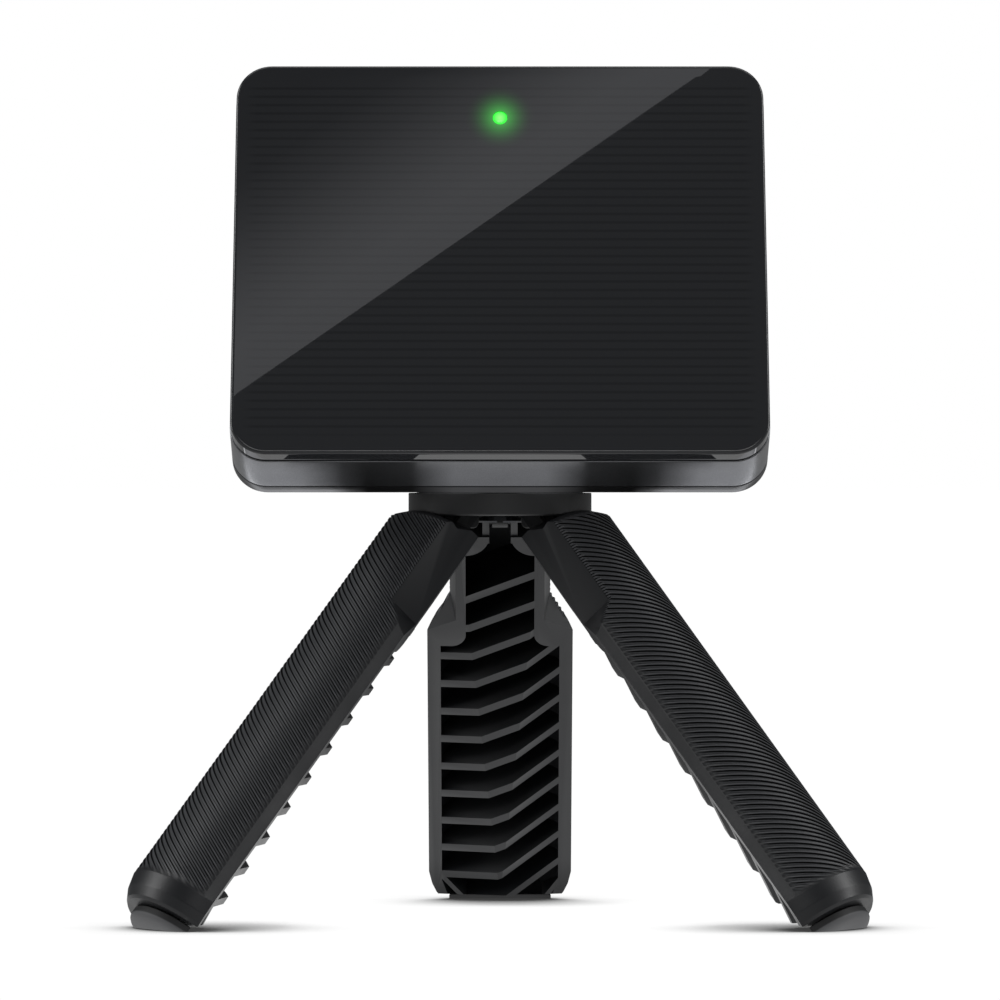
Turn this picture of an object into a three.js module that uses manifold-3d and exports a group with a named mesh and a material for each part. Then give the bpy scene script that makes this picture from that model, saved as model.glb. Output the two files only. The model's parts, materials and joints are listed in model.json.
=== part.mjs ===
// A portable radar launch monitor standing on a folding mini tripod.
// Millimetres, +Z up. The radar face looks along -Y and leans back.
// The tripod stands on its three feet at z = 0, and the origin is below the middle of the whole object.

import * as THREE from 'three';
import { mergeVertices } from 'three/addons/utils/BufferGeometryUtils.js';
import Module from 'manifold-3d';

const wasm = await Module();
wasm.setup();

// ---------------------------------------------------------------- driving dimensions

const CLEARANCE = 0.3; // gap between pieces that sit against each other
const OVERRUN = 1; // how far a cutting solid reaches past the surface it opens

// Device case, measured in its own leaning frame: x across, y into the depth, z up the face.
const CASE_WIDTH_BOTTOM = 88.9;
const CASE_WIDTH_TOP = 88.0;
const CASE_HEIGHT = 69.2;
const CASE_CORNER = 6;
const CASE_DEPTH = 18.5; // front face to the back edge of the side wall
const BACK_DEPTH = 25.4; // front face to the raised middle of the back
const LEAN = THREE.MathUtils.degToRad(20);
const BACK_EDGE_Y = -6.5; // the lowest edge of the case, in front of the tripod's axis

const FRONT_DEPTH = 3.05;
const MID_FRONT = 3.6;
const MID_BACK = 15.4;
const REAR_FRONT = 15.7;
const WALL = 2;

// Tripod. Leg sizes are measured on the folded leg, which hangs straight down beside the tripod's axis.
const HUB_BOTTOM = 67.2;
const HUB_HEIGHT = 3;
const HUB_RADIUS = 15.25;
const PAD_THICKNESS = 0.4;
const PAD_TOP = 70.75;
const SEAT_GAP = 0.25; // between the top pad and the device
const SPLAY = THREE.MathUtils.degToRad(39.5);
const PIVOT_RADIUS = 6; // from the tripod's axis to a hinge pin
const PIVOT_HEIGHT = HUB_BOTTOM + 1.7;
const PIN_RADIUS = 0.7;
const PIN_HALF_LENGTH = 4.3;
const EAR_RADIUS = 1.35;
const EAR_INNER = 1.8; // distance of an ear's inner side from the leg's middle plane
const EAR_OUTER = 2.95;

const LEG_RADIUS = 13.67; // of the rounded outside
const LEG_SHIFT = 1.56; // from the tripod's axis out to the middle of that roundness
const LEG_HALF_WIDTH = 12.4;
const LEG_TOP = 5.8; // below the pin
const LEG_END = 88.6;
const LEG_WALL = 1.7;
const TAPER_START = 84.1;
const END_RADIUS = 11.7;
const NECK_HALF_WIDTH = 8;
const NECK_DRAFT = 0.14; // sideways lean of the neck's flat sides
const NECK_END = 24.2;
const SHOULDER_END = 28.8;
const LEG_SPACE = 0.2; // half the gap between two folded legs
const RIB_PITCH = 6.26;
const RIB_FIRST = 16.2;
const RIB_COUNT = 12;
const RIB_THICKNESS = 1.4;
const RIB_SLOPE = 0.46;

const STUD_RADIUS = 3.1;
const INSERT_RADIUS = 4.6;
const INSERT_LENGTH = 8;

// ---------------------------------------------------------------- finishes

const finish = (color, roughness, metalness) => () =>
  new THREE.MeshStandardMaterial({ color, roughness, metalness });

const glossyBlack = finish('#17181a', 0.08, 0);
const satinGrey = finish('#3f4144', 0.38, 0.5);
const mattBlack = finish('#222325', 0.55, 0);
const legBlack = finish('#28292b', 0.5, 0);
const rubber = finish('#191919', 0.85, 0);
const steel = finish('#9a9c9f', 0.3, 1);
const brass = finish('#b08d4a', 0.35, 1);
const greenBoard = finish('#17532f', 0.5, 0);
const blackBoard = finish('#1c2420', 0.5, 0);
const tinPlate = finish('#b9bcbe', 0.3, 0.9);
const greenLight = finish('#4dff57', 0.3, 0);
const batteryWrap = finish('#35506e', 0.6, 0);
const greyPlastic = finish('#4a4c4f', 0.6, 0);

// ---------------------------------------------------------------- solids

// Turns a closed three.js geometry into a solid that can be joined and cut.
function toSolid(geometry) {
  const bare = geometry.clone();
  bare.deleteAttribute('normal');
  bare.deleteAttribute('uv');
  const merged = mergeVertices(bare, 1e-4);
  const index = merged.index.array;
  const corners = [];
  for (let i = 0; i < index.length; i += 3) {
    const [a, b, c] = [index[i], index[i + 1], index[i + 2]];
    if (a !== b && b !== c && c !== a) corners.push(a, b, c);
  }
  const vertProperties = Float32Array.from(merged.attributes.position.array);
  const triVerts = Uint32Array.from(corners);
  return new wasm.Manifold(new wasm.Mesh({ numProp: 3, vertProperties, triVerts }));
}

// A named mesh from a solid.
function piece(name, solid, material) {
  const mesh = solid.getMesh();
  const geometry = new THREE.BufferGeometry();
  geometry.setAttribute('position', new THREE.BufferAttribute(Float32Array.from(mesh.vertProperties), 3));
  geometry.setIndex(new THREE.BufferAttribute(Uint32Array.from(mesh.triVerts), 1));
  geometry.computeVertexNormals();
  const made = new THREE.Mesh(geometry, material());
  made.name = name;
  return made;
}

const X = new THREE.Vector3(1, 0, 0);
const Y = new THREE.Vector3(0, 1, 0);
const Z = new THREE.Vector3(0, 0, 1);
const BACKWARDS = Y.clone().negate();

function box([x0, x1], [y0, y1], [z0, z1], matrix = new THREE.Matrix4()) {
  const geometry = new THREE.BoxGeometry(x1 - x0, y1 - y0, z1 - z0);
  geometry.translate((x0 + x1) / 2, (y0 + y1) / 2, (z0 + z1) / 2);
  return toSolid(geometry.applyMatrix4(matrix));
}

function extrusion(shape, length, curveSegments) {
  return new THREE.ExtrudeGeometry(shape, { depth: length, bevelEnabled: false, curveSegments });
}

// Outline in x and y, extruded along z.
function extrudeUp(shape, z0, z1, curveSegments = 8) {
  return toSolid(extrusion(shape, z1 - z0, curveSegments).translate(0, 0, z0));
}

// Outline in x and z, extruded along y.
function extrudeBack(shape, y0, y1, curveSegments = 4, matrix = new THREE.Matrix4()) {
  const geometry = extrusion(shape, y1 - y0, curveSegments).translate(0, 0, -y1);
  geometry.applyMatrix4(new THREE.Matrix4().makeBasis(X, Z, BACKWARDS));
  return toSolid(geometry.applyMatrix4(matrix));
}

// Outline in y and z, extruded along x.
function extrudeAcross(shape, x0, x1, curveSegments = 8, matrix = new THREE.Matrix4()) {
  const geometry = extrusion(shape, x1 - x0, curveSegments).translate(0, 0, x0);
  geometry.applyMatrix4(new THREE.Matrix4().makeBasis(Y, Z, X));
  return toSolid(geometry.applyMatrix4(matrix));
}

// Profile of [radius, height] points from the bottom of the axis to its top, turned about z.
function turned(profile, segments = 72, matrix = new THREE.Matrix4()) {
  const points = profile.map(([radius, height]) => new THREE.Vector2(radius, height));
  const geometry = new THREE.LatheGeometry(points, segments).rotateX(Math.PI / 2);
  return toSolid(geometry.applyMatrix4(matrix));
}

function rod(radius, z0, z1, segments = 24, matrix = new THREE.Matrix4()) {
  return turned([[0, z0], [radius, z0], [radius, z1], [0, z1]], segments, matrix);
}

// A round rod along the depth of the case, centred at x and z.
function rodBack(radius, x, z, y0, y1, segments = 16) {
  const shape = new THREE.Shape().absarc(x, z, radius, 0, 2 * Math.PI, false);
  return extrudeBack(shape, y0, y1, segments / 2);
}

// A rod along x, centred at y and z.
function rodAcross(radius, y, z, x0, x1, segments = 20) {
  const shape = new THREE.Shape().absarc(y, z, radius, 0, 2 * Math.PI, false);
  return extrudeAcross(shape, x0, x1, segments / 2);
}

function polygon(points) {
  return new THREE.Shape(points.map(([a, b]) => new THREE.Vector2(a, b)));
}

// A rectangle with rounded corners, given by its centre.
function roundedRectangle(cx, cy, width, height, radius) {
  const shape = new THREE.Shape();
  const right = cx + width / 2 - radius;
  const left = cx - width / 2 + radius;
  const top = cy + height / 2 - radius;
  const bottom = cy - height / 2 + radius;
  shape.absarc(right, bottom, radius, -Math.PI / 2, 0, false);
  shape.absarc(right, top, radius, 0, Math.PI / 2, false);
  shape.absarc(left, top, radius, Math.PI / 2, Math.PI, false);
  shape.absarc(left, bottom, radius, Math.PI, 1.5 * Math.PI, false);
  return shape;
}

// ---------------------------------------------------------------- device case

// The face outline in x and z, a little narrower at the top, drawn in by an inset.
function faceOutline(inset = 0, radius = Math.max(CASE_CORNER - inset, 1)) {
  const shape = new THREE.Shape();
  const bottom = CASE_WIDTH_BOTTOM / 2 - inset - radius;
  const top = CASE_WIDTH_TOP / 2 - inset - radius;
  const low = inset + radius;
  const high = CASE_HEIGHT - inset - radius;
  shape.absarc(bottom, low, radius, -Math.PI / 2, 0, false);
  shape.absarc(top, high, radius, 0, Math.PI / 2, false);
  shape.absarc(-top, high, radius, Math.PI / 2, Math.PI, false);
  shape.absarc(-bottom, low, radius, Math.PI, 1.5 * Math.PI, false);
  return shape;
}

// A closed skin through face outlines that lie at increasing depths: each step is [depth, inset, radius].
function faceLoft(steps, divisions = 4) {
  const positions = [];
  const rings = steps.map(([, inset, radius]) => faceOutline(inset, radius).getPoints(divisions));
  rings.forEach((ring, step) => ring.forEach((point) => positions.push(point.x, steps[step][0], point.y)));
  const count = rings[0].length;
  const index = [];
  for (let step = 0; step + 1 < rings.length; step++) {
    for (let i = 0; i < count; i++) {
      const here = step * count + i;
      const next = step * count + ((i + 1) % count);
      index.push(here, here + count, next, next, here + count, next + count);
    }
  }
  const last = (rings.length - 1) * count;
  for (let i = 1; i + 1 < count; i++) {
    index.push(0, i, i + 1);
    index.push(last, last + i + 1, last + i);
  }
  const geometry = new THREE.BufferGeometry();
  geometry.setAttribute('position', new THREE.Float32BufferAttribute(positions, 3));
  geometry.setIndex(index);
  return toSolid(geometry.toNonIndexed());
}

const LIGHT_HEIGHT = CASE_HEIGHT - 9.55;
const LIGHT_RADIUS = 0.9;
const SCREW_INSET = 6.2;
const SCREW_HEAD_RADIUS = 2;
const SCREW_SHANK_RADIUS = 0.95;
const BOSS_RADIUS = 4.6;
const BOARD_FRONT = 11.2;
const BOARD_BACK = 12.3;
const RADAR_MIDDLE = 33;

// Screw centres, one in each corner of the case.
const screwPlaces = [-1, 1].flatMap((side) => [
  [side * (CASE_WIDTH_BOTTOM / 2 - SCREW_INSET), SCREW_INSET],
  [side * (CASE_WIDTH_TOP / 2 - SCREW_INSET), CASE_HEIGHT - SCREW_INSET],
]);

// Places of the power button on the top side, and of the charging socket on the right side.
const BUTTON = { x: 24, y: 7.9, width: 12, depth: 4.6, flange: 0.8, travel: 0.5 };
const SOCKET = { y: 9.7, z: 20, mouth: 8, thickness: 2.6 };
const CAP = { y: 9.7, low: 13.5, high: 26.5, depth: 6.8, thickness: 1.1 };

// Half the case's width at a height on its side wall.
function halfWidthAt(z) {
  return THREE.MathUtils.lerp(CASE_WIDTH_BOTTOM, CASE_WIDTH_TOP, z / CASE_HEIGHT) / 2;
}
const CAP_OUTSIDE = halfWidthAt(CAP.low + 6.5);

// Glossy one-piece cover: the flat radar window and the polished front of the side walls.
function frontCover() {
  const shell = faceLoft([
    [0, 0.55, 5.5],
    [0.4, 0.15],
    [FRONT_DEPTH, 0.15],
  ]);
  const hollow = extrudeBack(faceOutline(1.75), 1.5, FRONT_DEPTH + OVERRUN);
  const lightHole = rodBack(LIGHT_RADIUS + CLEARANCE, 0, LIGHT_HEIGHT, -OVERRUN, FRONT_DEPTH);
  return shell.subtract(hollow).subtract(lightHole);
}

// Soft ring that fills the dark seam behind the front cover.
function frontGasket() {
  const margin = 0.1;
  const ring = extrudeBack(faceOutline(0.75), FRONT_DEPTH + margin, MID_FRONT - margin);
  return ring.subtract(extrudeBack(faceOutline(1.9), FRONT_DEPTH, MID_FRONT));
}

// Satin band round the case, with screw bosses in its corners.
function midFrame() {
  let frame = extrudeBack(faceOutline(0), MID_FRONT, MID_BACK);
  frame = frame.subtract(extrudeBack(faceOutline(WALL), MID_FRONT - OVERRUN, MID_BACK + OVERRUN));
  for (const [x, z] of screwPlaces) {
    const corner = rodBack(BOSS_RADIUS, x, z, MID_FRONT + 1, MID_BACK);
    frame = frame.add(corner.intersect(extrudeBack(faceOutline(WALL / 2), MID_FRONT, MID_BACK)));
    const pilot = rodBack(SCREW_SHANK_RADIUS + CLEARANCE, x, z, MID_FRONT + 2, MID_BACK + OVERRUN);
    frame = frame.subtract(pilot);
  }
  const keyHole = roundedRectangle(
    BUTTON.x, BUTTON.y,
    BUTTON.width + 2 * CLEARANCE, BUTTON.depth + 2 * CLEARANCE, BUTTON.depth / 2,
  );
  frame = frame.subtract(extrudeUp(keyHole, CASE_HEIGHT - WALL - OVERRUN, CASE_HEIGHT + OVERRUN));
  const recess = box(
    [CAP_OUTSIDE - CAP.thickness - CLEARANCE, CAP_OUTSIDE + OVERRUN],
    [CAP.y - CAP.depth / 2 - CLEARANCE, CAP.y + CAP.depth / 2 + CLEARANCE],
    [CAP.low - CLEARANCE, CAP.high + CLEARANCE],
  );
  const mouth = box(
    [CAP_OUTSIDE - WALL - OVERRUN, CAP_OUTSIDE],
    [SOCKET.y - SOCKET.thickness / 2 - CLEARANCE, SOCKET.y + SOCKET.thickness / 2 + CLEARANCE],
    [SOCKET.z - SOCKET.mouth / 2 - CLEARANCE, SOCKET.z + SOCKET.mouth / 2 + CLEARANCE],
  );
  return frame.subtract(recess).subtract(mouth);
}

// Where the case stands: its lower back edge is just above the tripod's top pad.
const BACK_EDGE_Z = PAD_TOP + SEAT_GAP;
const caseMatrix = new THREE.Matrix4().makeRotationX(-LEAN);
caseMatrix.setPosition(
  0,
  BACK_EDGE_Y - CASE_DEPTH * Math.cos(LEAN),
  BACK_EDGE_Z + CASE_DEPTH * Math.sin(LEAN),
);
const intoCase = caseMatrix.clone().invert();

// Pillar round the threaded insert, upright on the tripod's axis.
function insertPillar() {
  const pillar = rod(INSERT_RADIUS + WALL, BACK_EDGE_Z, BACK_EDGE_Z + INSERT_LENGTH + WALL, 20, intoCase);
  return pillar.intersect(box([-40, 40], [REAR_FRONT, 60], [0.02, 60]));
}

// Round foot under the case's back, level with the tripod and with a slanted top.
function baseBoss() {
  const radius = 14.2;
  const height = 20;
  const low = 5; // height of the slanted top at the boss's outer edge
  const bottom = BACK_EDGE_Z - OVERRUN;
  const reach = radius + OVERRUN;
  const side = polygon([
    [reach, bottom],
    [reach, BACK_EDGE_Z + low],
    [radius, BACK_EDGE_Z + low],
    [radius / 2, BACK_EDGE_Z + height],
    [-reach, BACK_EDGE_Z + height],
    [-reach, bottom],
  ]);
  const boss = rod(radius, BACK_EDGE_Z, BACK_EDGE_Z + height, 36, intoCase);
  const behind = box([-40, 40], [CASE_DEPTH - 1, 60], [0.02, 60]);
  return boss.intersect(extrudeAcross(side, -reach, reach, 8, intoCase)).intersect(behind);
}

// Back of the case: a side strip, a sloped and raised back, and the base boss.
function rearCover() {
  const shell = faceLoft([
    [REAR_FRONT, 0],
    [CASE_DEPTH - 0.1, 0],
    [CASE_DEPTH + 0.6, 0.9],
    [BACK_DEPTH - 1, 11, 7],
    [BACK_DEPTH, 13, 6],
  ]);
  const hollow = faceLoft([
    [REAR_FRONT - OVERRUN, WALL],
    [CASE_DEPTH - 1.9, WALL],
    [BACK_DEPTH - 3, 12.4, 6],
    [BACK_DEPTH - 1.6, 14.5, 5],
  ]);
  const pillar = insertPillar();
  let cover = shell.add(baseBoss()).subtract(hollow).add(pillar);
  const pocketTop = BACK_EDGE_Z + INSERT_LENGTH + 2 * CLEARANCE;
  cover = cover.subtract(rod(INSERT_RADIUS + CLEARANCE, BACK_EDGE_Z - OVERRUN, pocketTop, 20, intoCase));
  for (const [x, z] of screwPlaces) {
    const seat = rodBack(BOSS_RADIUS, x, z, REAR_FRONT, CASE_DEPTH - 0.5);
    cover = cover.add(seat.intersect(extrudeBack(faceOutline(1), REAR_FRONT, CASE_DEPTH)));
    cover = cover.subtract(rodBack(SCREW_SHANK_RADIUS + CLEARANCE, x, z, 0, BACK_DEPTH));
    cover = cover.subtract(rodBack(SCREW_HEAD_RADIUS + CLEARANCE, x, z, CASE_DEPTH - 1.3, BACK_DEPTH));
  }
  return cover;
}

// Screw from the back, with a cross recess in its head.
function caseScrew(x, z) {
  const headFront = CASE_DEPTH - 1.3 + 0.1;
  const headDepth = 1.1;
  const head = rodBack(SCREW_HEAD_RADIUS, x, z, headFront, headFront + headDepth);
  const shank = rodBack(SCREW_SHANK_RADIUS, x, z, headFront - 9, headFront + 0.2, 12);
  const slot = [headFront + headDepth - 0.6, headFront + headDepth + OVERRUN];
  const across = box([x - 1.2, x + 1.2], slot, [z - 0.3, z + 0.3]);
  const upright = box([x - 0.3, x + 0.3], slot, [z - 1.2, z + 1.2]);
  return head.add(shank).subtract(across.add(upright));
}

// Pill-shaped key with a flange that keeps it in the wall.
function powerButton() {
  const { x, y, width, depth, flange } = BUTTON;
  const inside = CASE_HEIGHT - WALL - CLEARANCE;
  const key = extrudeUp(roundedRectangle(x, y, width, depth, depth / 2 - 0.01), inside - 0.5, CASE_HEIGHT + 0.15);
  const rim = roundedRectangle(x, y, width + 2 * flange, depth + 2 * flange, depth / 2);
  return key.add(extrudeUp(rim, inside - 0.7, inside));
}

// Switch on the main board's front, just under the key.
function tactSwitch() {
  const top = CASE_HEIGHT - WALL - CLEARANCE - 0.7 - BUTTON.travel - 0.3;
  const body = box([BUTTON.x - 3, BUTTON.x + 3], [6, BOARD_FRONT - 0.1], [top - 4.4, top - 0.8]);
  const plungerPlace = new THREE.Matrix4().makeTranslation(BUTTON.x, BUTTON.y, 0);
  return body.add(rod(1, top - 1, top, 16, plungerPlace));
}

// Main circuit board, notched round the screw bosses.
function mainBoard() {
  let board = extrudeBack(faceOutline(WALL + 0.6), BOARD_FRONT, BOARD_BACK);
  for (const [x, z] of screwPlaces) {
    board = board.subtract(rodBack(BOSS_RADIUS + CLEARANCE, x, z, BOARD_FRONT - OVERRUN, BOARD_BACK + OVERRUN));
  }
  return board;
}

// Radar board behind the window, with its patch antennas in one plane.
function radarBoard() {
  let patches = extrudeBack(roundedRectangle(0, RADAR_MIDDLE, 66, 44, 2), 4.2, 5.2, 3);
  const patch = 5.4;
  const pitch = 8.2;
  for (let column = -3; column <= 3; column++) {
    for (let row = -2; row <= 2; row++) {
      const cx = column * pitch;
      const cz = RADAR_MIDDLE + row * pitch;
      patches = patches.add(
        box([cx - patch / 2, cx + patch / 2], [4.0, 4.3], [cz - patch / 2, cz + patch / 2]),
      );
    }
  }
  return patches;
}

// Folded tin can that screens the radar circuits.
function radarShield() {
  const can = extrudeBack(roundedRectangle(0, RADAR_MIDDLE, 58, 40, 1.5), 5.5, 8, 3);
  const hollow = extrudeBack(roundedRectangle(0, RADAR_MIDDLE, 57.2, 39.2, 1.2), 5.5 - OVERRUN, 7.6, 3);
  return can.subtract(hollow);
}

// Clear rod that carries the status light from the main board to the front.
function lightPipe() {
  return rodBack(LIGHT_RADIUS, 0, LIGHT_HEIGHT, 0.25, 10.5).add(
    rodBack(LIGHT_RADIUS + 0.9, 0, LIGHT_HEIGHT, 9.6, BOARD_FRONT - CLEARANCE),
  );
}

function batteryPack() {
  return extrudeBack(roundedRectangle(0, 37, 54, 34, 3), 13.8, 20.4, 4);
}

// Tray with two side lips that holds the battery off the board.
function batteryBracket() {
  const floor = extrudeBack(roundedRectangle(0, 37, 58, 38, 2), 12.7, 13.5, 3);
  const window = extrudeBack(roundedRectangle(0, 37, 40, 22, 2), 12, 14, 3);
  const lips = [-1, 1].map((side) => {
    const inner = 27.4 * side;
    const outer = 29 * side;
    return box([Math.min(inner, outer), Math.max(inner, outer)], [12.7, 17.6], [26, 48]);
  });
  return floor.subtract(window).add(lips[0]).add(lips[1]);
}

// Charging socket: a metal shell with a tongue in its mouth.
function usbSocket() {
  const inside = halfWidthAt(SOCKET.z) - WALL - CLEARANCE;
  const { y, z, mouth, thickness } = SOCKET;
  const half = mouth / 2 - 0.3;
  const shell = box([inside - 5.5, inside], [y - thickness / 2, y + thickness / 2], [z - half, z + half]);
  const hollow = box(
    [inside - 4.6, inside + OVERRUN],
    [y - thickness / 2 + 0.35, y + thickness / 2 - 0.35],
    [z - half + 0.35, z + half - 0.35],
  );
  const tongue = box([inside - 5, inside - 0.8], [y + 0.1, y + 0.6], [z - half + 1, z + half - 1]);
  return shell.subtract(hollow).add(tongue);
}

// Rubber weather cap, flush with the side wall, with a plug that fits into the socket's opening.
function usbCap() {
  const { y, low, high, depth, thickness } = CAP;
  const plate = extrudeAcross(
    roundedRectangle(y, (low + high) / 2, depth, high - low, 1.4),
    CAP_OUTSIDE - thickness,
    CAP_OUTSIDE,
    4,
  );
  const half = SOCKET.mouth / 2 - 1.2;
  const plug = box(
    [CAP_OUTSIDE - thickness - 0.9, CAP_OUTSIDE - thickness + 0.2],
    [y - 0.75, y + 0.75],
    [SOCKET.z - half, SOCKET.z + half],
  );
  const nail = box([CAP_OUTSIDE - 0.45, CAP_OUTSIDE + OVERRUN], [y - 2, y + 2], [high - 1.1, high + OVERRUN]);
  return plate.add(plug).subtract(nail);
}

// Brass insert with the tripod thread's bore, level with the boss's underside.
function threadedInsert() {
  const low = BACK_EDGE_Z + 0.2;
  const bore = rod(STUD_RADIUS + CLEARANCE + 0.05, low - OVERRUN, low + INSERT_LENGTH - 1, 24, intoCase);
  return rod(INSERT_RADIUS, low, low + INSERT_LENGTH, 24, intoCase).subtract(bore);
}

// Every piece of the device, in the leaning frame of its case.
function buildDevice() {
  const device = new THREE.Group();
  device.applyMatrix4(caseMatrix);
  device.add(
    piece('front_cover', frontCover(), glossyBlack),
    piece('front_gasket', frontGasket(), rubber),
    piece('mid_frame', midFrame(), satinGrey),
    piece('rear_cover', rearCover(), mattBlack),
    piece('led_light_pipe', lightPipe(), greenLight),
    piece('radar_antenna_board', radarBoard(), greenBoard),
    piece('radar_shield_can', radarShield(), tinPlate),
    piece('main_board', mainBoard(), blackBoard),
    piece('battery_pack', batteryPack(), batteryWrap),
    piece('battery_bracket', batteryBracket(), greyPlastic),
    piece('usb_socket', usbSocket(), tinPlate),
    piece('usb_cap', usbCap(), rubber),
    piece('power_button', powerButton(), mattBlack),
    piece('tact_switch', tactSwitch(), greyPlastic),
    piece('threaded_insert', threadedInsert(), brass),
  );
  screwPlaces.forEach(([x, z], i) => device.add(piece(`case_screw_${i + 1}`, caseScrew(x, z), steel)));
  return device;
}

// ---------------------------------------------------------------- tripod hub

// Turns a solid's matrix to the direction of one of the three legs, the first of which points to +Y.
function towardsLeg(number) {
  return new THREE.Matrix4().makeRotationZ((number * 2 * Math.PI) / 3);
}

const HUB_TOP = HUB_BOTTOM + HUB_HEIGHT;

// Lug that hangs between a leg's two ears, seen from the side.
function lugOutline() {
  const shape = new THREE.Shape();
  const inner = PIVOT_RADIUS - 1.2;
  const outer = PIVOT_RADIUS + 1.6;
  const bottom = HUB_BOTTOM - 2.1;
  shape.moveTo(inner, HUB_BOTTOM + OVERRUN);
  shape.lineTo(inner, bottom + 1);
  shape.absarc(inner + 1, bottom + 1, 1, Math.PI, 1.5 * Math.PI, false);
  shape.absarc(outer - 1, bottom + 1, 1, 1.5 * Math.PI, 2 * Math.PI, false);
  shape.lineTo(outer, HUB_BOTTOM + OVERRUN);
  return shape;
}

// Round hub with a lug, two ear slots and a pin channel for each leg.
function hubBody() {
  const edge = 0.65;
  let hub = turned([
    [0, HUB_BOTTOM],
    [HUB_RADIUS - edge, HUB_BOTTOM],
    [HUB_RADIUS, HUB_BOTTOM + edge],
    [HUB_RADIUS, HUB_TOP],
    [0, HUB_TOP],
  ]);
  const lugHalf = EAR_INNER - 0.45;
  const slotIn = PIVOT_RADIUS - EAR_RADIUS - 0.45;
  const slotOut = PIVOT_RADIUS + EAR_RADIUS + 2.45;
  for (let number = 0; number < 3; number++) {
    const turn = towardsLeg(number);
    hub = hub.add(extrudeAcross(lugOutline(), -lugHalf, lugHalf, 4, turn));
    for (const side of [-1, 1]) {
      const near = (EAR_INNER - 0.25) * side;
      const far = (EAR_OUTER + 0.3) * side;
      const width = [Math.min(near, far), Math.max(near, far)];
      hub = hub.subtract(box(width, [slotIn, slotOut], [HUB_BOTTOM - OVERRUN, HUB_TOP + OVERRUN], turn));
    }
    const half = PIN_RADIUS + 0.2;
    const reach = PIN_HALF_LENGTH + 0.2;
    const channel = [PIVOT_HEIGHT - half, HUB_TOP + OVERRUN];
    hub = hub.subtract(box([-reach, reach], [PIVOT_RADIUS - half, PIVOT_RADIUS + half], channel, turn));
  }
  return hub.subtract(rod(STUD_RADIUS + CLEARANCE, HUB_BOTTOM - OVERRUN, HUB_TOP + OVERRUN, 24));
}

// Thin disc that closes the pin channels and that the device is screwed down on.
function hubTopPad() {
  const disc = rod(HUB_RADIUS - 0.7, PAD_TOP - PAD_THICKNESS, PAD_TOP, 60);
  return disc.subtract(rod(STUD_RADIUS + CLEARANCE, HUB_TOP, PAD_TOP + OVERRUN, 24));
}

// Tripod screw: a slotted head under the hub and a shank that reaches into the device.
function mountStud() {
  const headTop = HUB_BOTTOM - CLEARANCE;
  const stud = turned([
    [0, headTop - 0.9],
    [3.7, headTop - 0.9],
    [4, headTop - 0.6],
    [4, headTop],
    [STUD_RADIUS, headTop],
    [STUD_RADIUS, BACK_EDGE_Z + 5.6],
    [STUD_RADIUS - 0.6, BACK_EDGE_Z + 6.2],
    [0, BACK_EDGE_Z + 6.2],
  ], 24);
  return stud.subtract(box([-0.5, 0.5], [-OVERRUN * 5, OVERRUN * 5], [headTop - 2, headTop - 0.5]));
}

function hingePin() {
  const chamfer = 0.2;
  return turned([
    [0, -PIN_HALF_LENGTH],
    [PIN_RADIUS - chamfer, -PIN_HALF_LENGTH],
    [PIN_RADIUS, -PIN_HALF_LENGTH + chamfer],
    [PIN_RADIUS, PIN_HALF_LENGTH - chamfer],
    [PIN_RADIUS - chamfer, PIN_HALF_LENGTH],
    [0, PIN_HALF_LENGTH],
  ], 20, new THREE.Matrix4().makeRotationY(Math.PI / 2));
}

// ---------------------------------------------------------------- legs

// A leg is drawn folded: x across it, y out from the tripod's axis, z down from the pin as a negative height.
const legMiddle = new THREE.Matrix4().makeTranslation(0, LEG_SHIFT, 0);
const SECTOR_SLOPE = Math.tan(Math.PI / 6); // a third of a full turn, halved, leaves 30 degrees at each side

// The outside of a leg: a round body with a tapered end, below a stop that turns round the tripod's axis.
function legOutside() {
  const body = turned([
    [0, -LEG_END],
    [END_RADIUS, -LEG_END],
    [END_RADIUS + 1.25, -LEG_END + 2.2],
    [LEG_RADIUS, -TAPER_START],
    [LEG_RADIUS, 0],
    [0, 0],
  ], 54, legMiddle);
  const reach = LEG_RADIUS + 5;
  const stop = turned([
    [0, -LEG_END - OVERRUN],
    [reach, -LEG_END - OVERRUN],
    [reach, -LEG_TOP - 3.6],
    [15.3, -LEG_TOP - 3.6],
    [13.3, -LEG_TOP - 1.3],
    [12, -LEG_TOP - 1.8],
    [9.9, -LEG_TOP],
    [0, -LEG_TOP],
  ], 54);
  return body.intersect(stop);
}

// The third of the folded bundle that one leg may fill, in x and y.
function legSector() {
  const gap = LEG_SPACE / Math.cos(Math.PI / 6);
  const far = LEG_RADIUS + 6;
  return extrudeUp(
    polygon([
      [0, gap],
      [far, gap + far * SECTOR_SLOPE],
      [far, 2 * far],
      [-far, 2 * far],
      [-far, gap + far * SECTOR_SLOPE],
    ]),
    -LEG_END - OVERRUN,
    0,
  );
}

// What is cut away beside the neck, on the side with the given sign, down to the shoulder.
function neckCut(side) {
  const outline = polygon([
    [NECK_HALF_WIDTH, OVERRUN],
    [NECK_HALF_WIDTH, -NECK_END],
    [LEG_HALF_WIDTH + 0.2, -SHOULDER_END],
    [LEG_HALF_WIDTH + 8, -SHOULDER_END],
    [LEG_HALF_WIDTH + 8, OVERRUN],
  ].map(([x, z]) => [side * x, z]));
  const middle = 8.15; // how far out the neck has its nominal width
  const matrix = new THREE.Matrix4()
    .makeTranslation(0, middle, 0)
    .multiply(new THREE.Matrix4().makeShear(0, 0, NECK_DRAFT * side, 0, 0, 0))
    .multiply(new THREE.Matrix4().makeTranslation(0, -middle, 0));
  return extrudeBack(outline, -OVERRUN, LEG_RADIUS + 3, 6, matrix);
}

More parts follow.
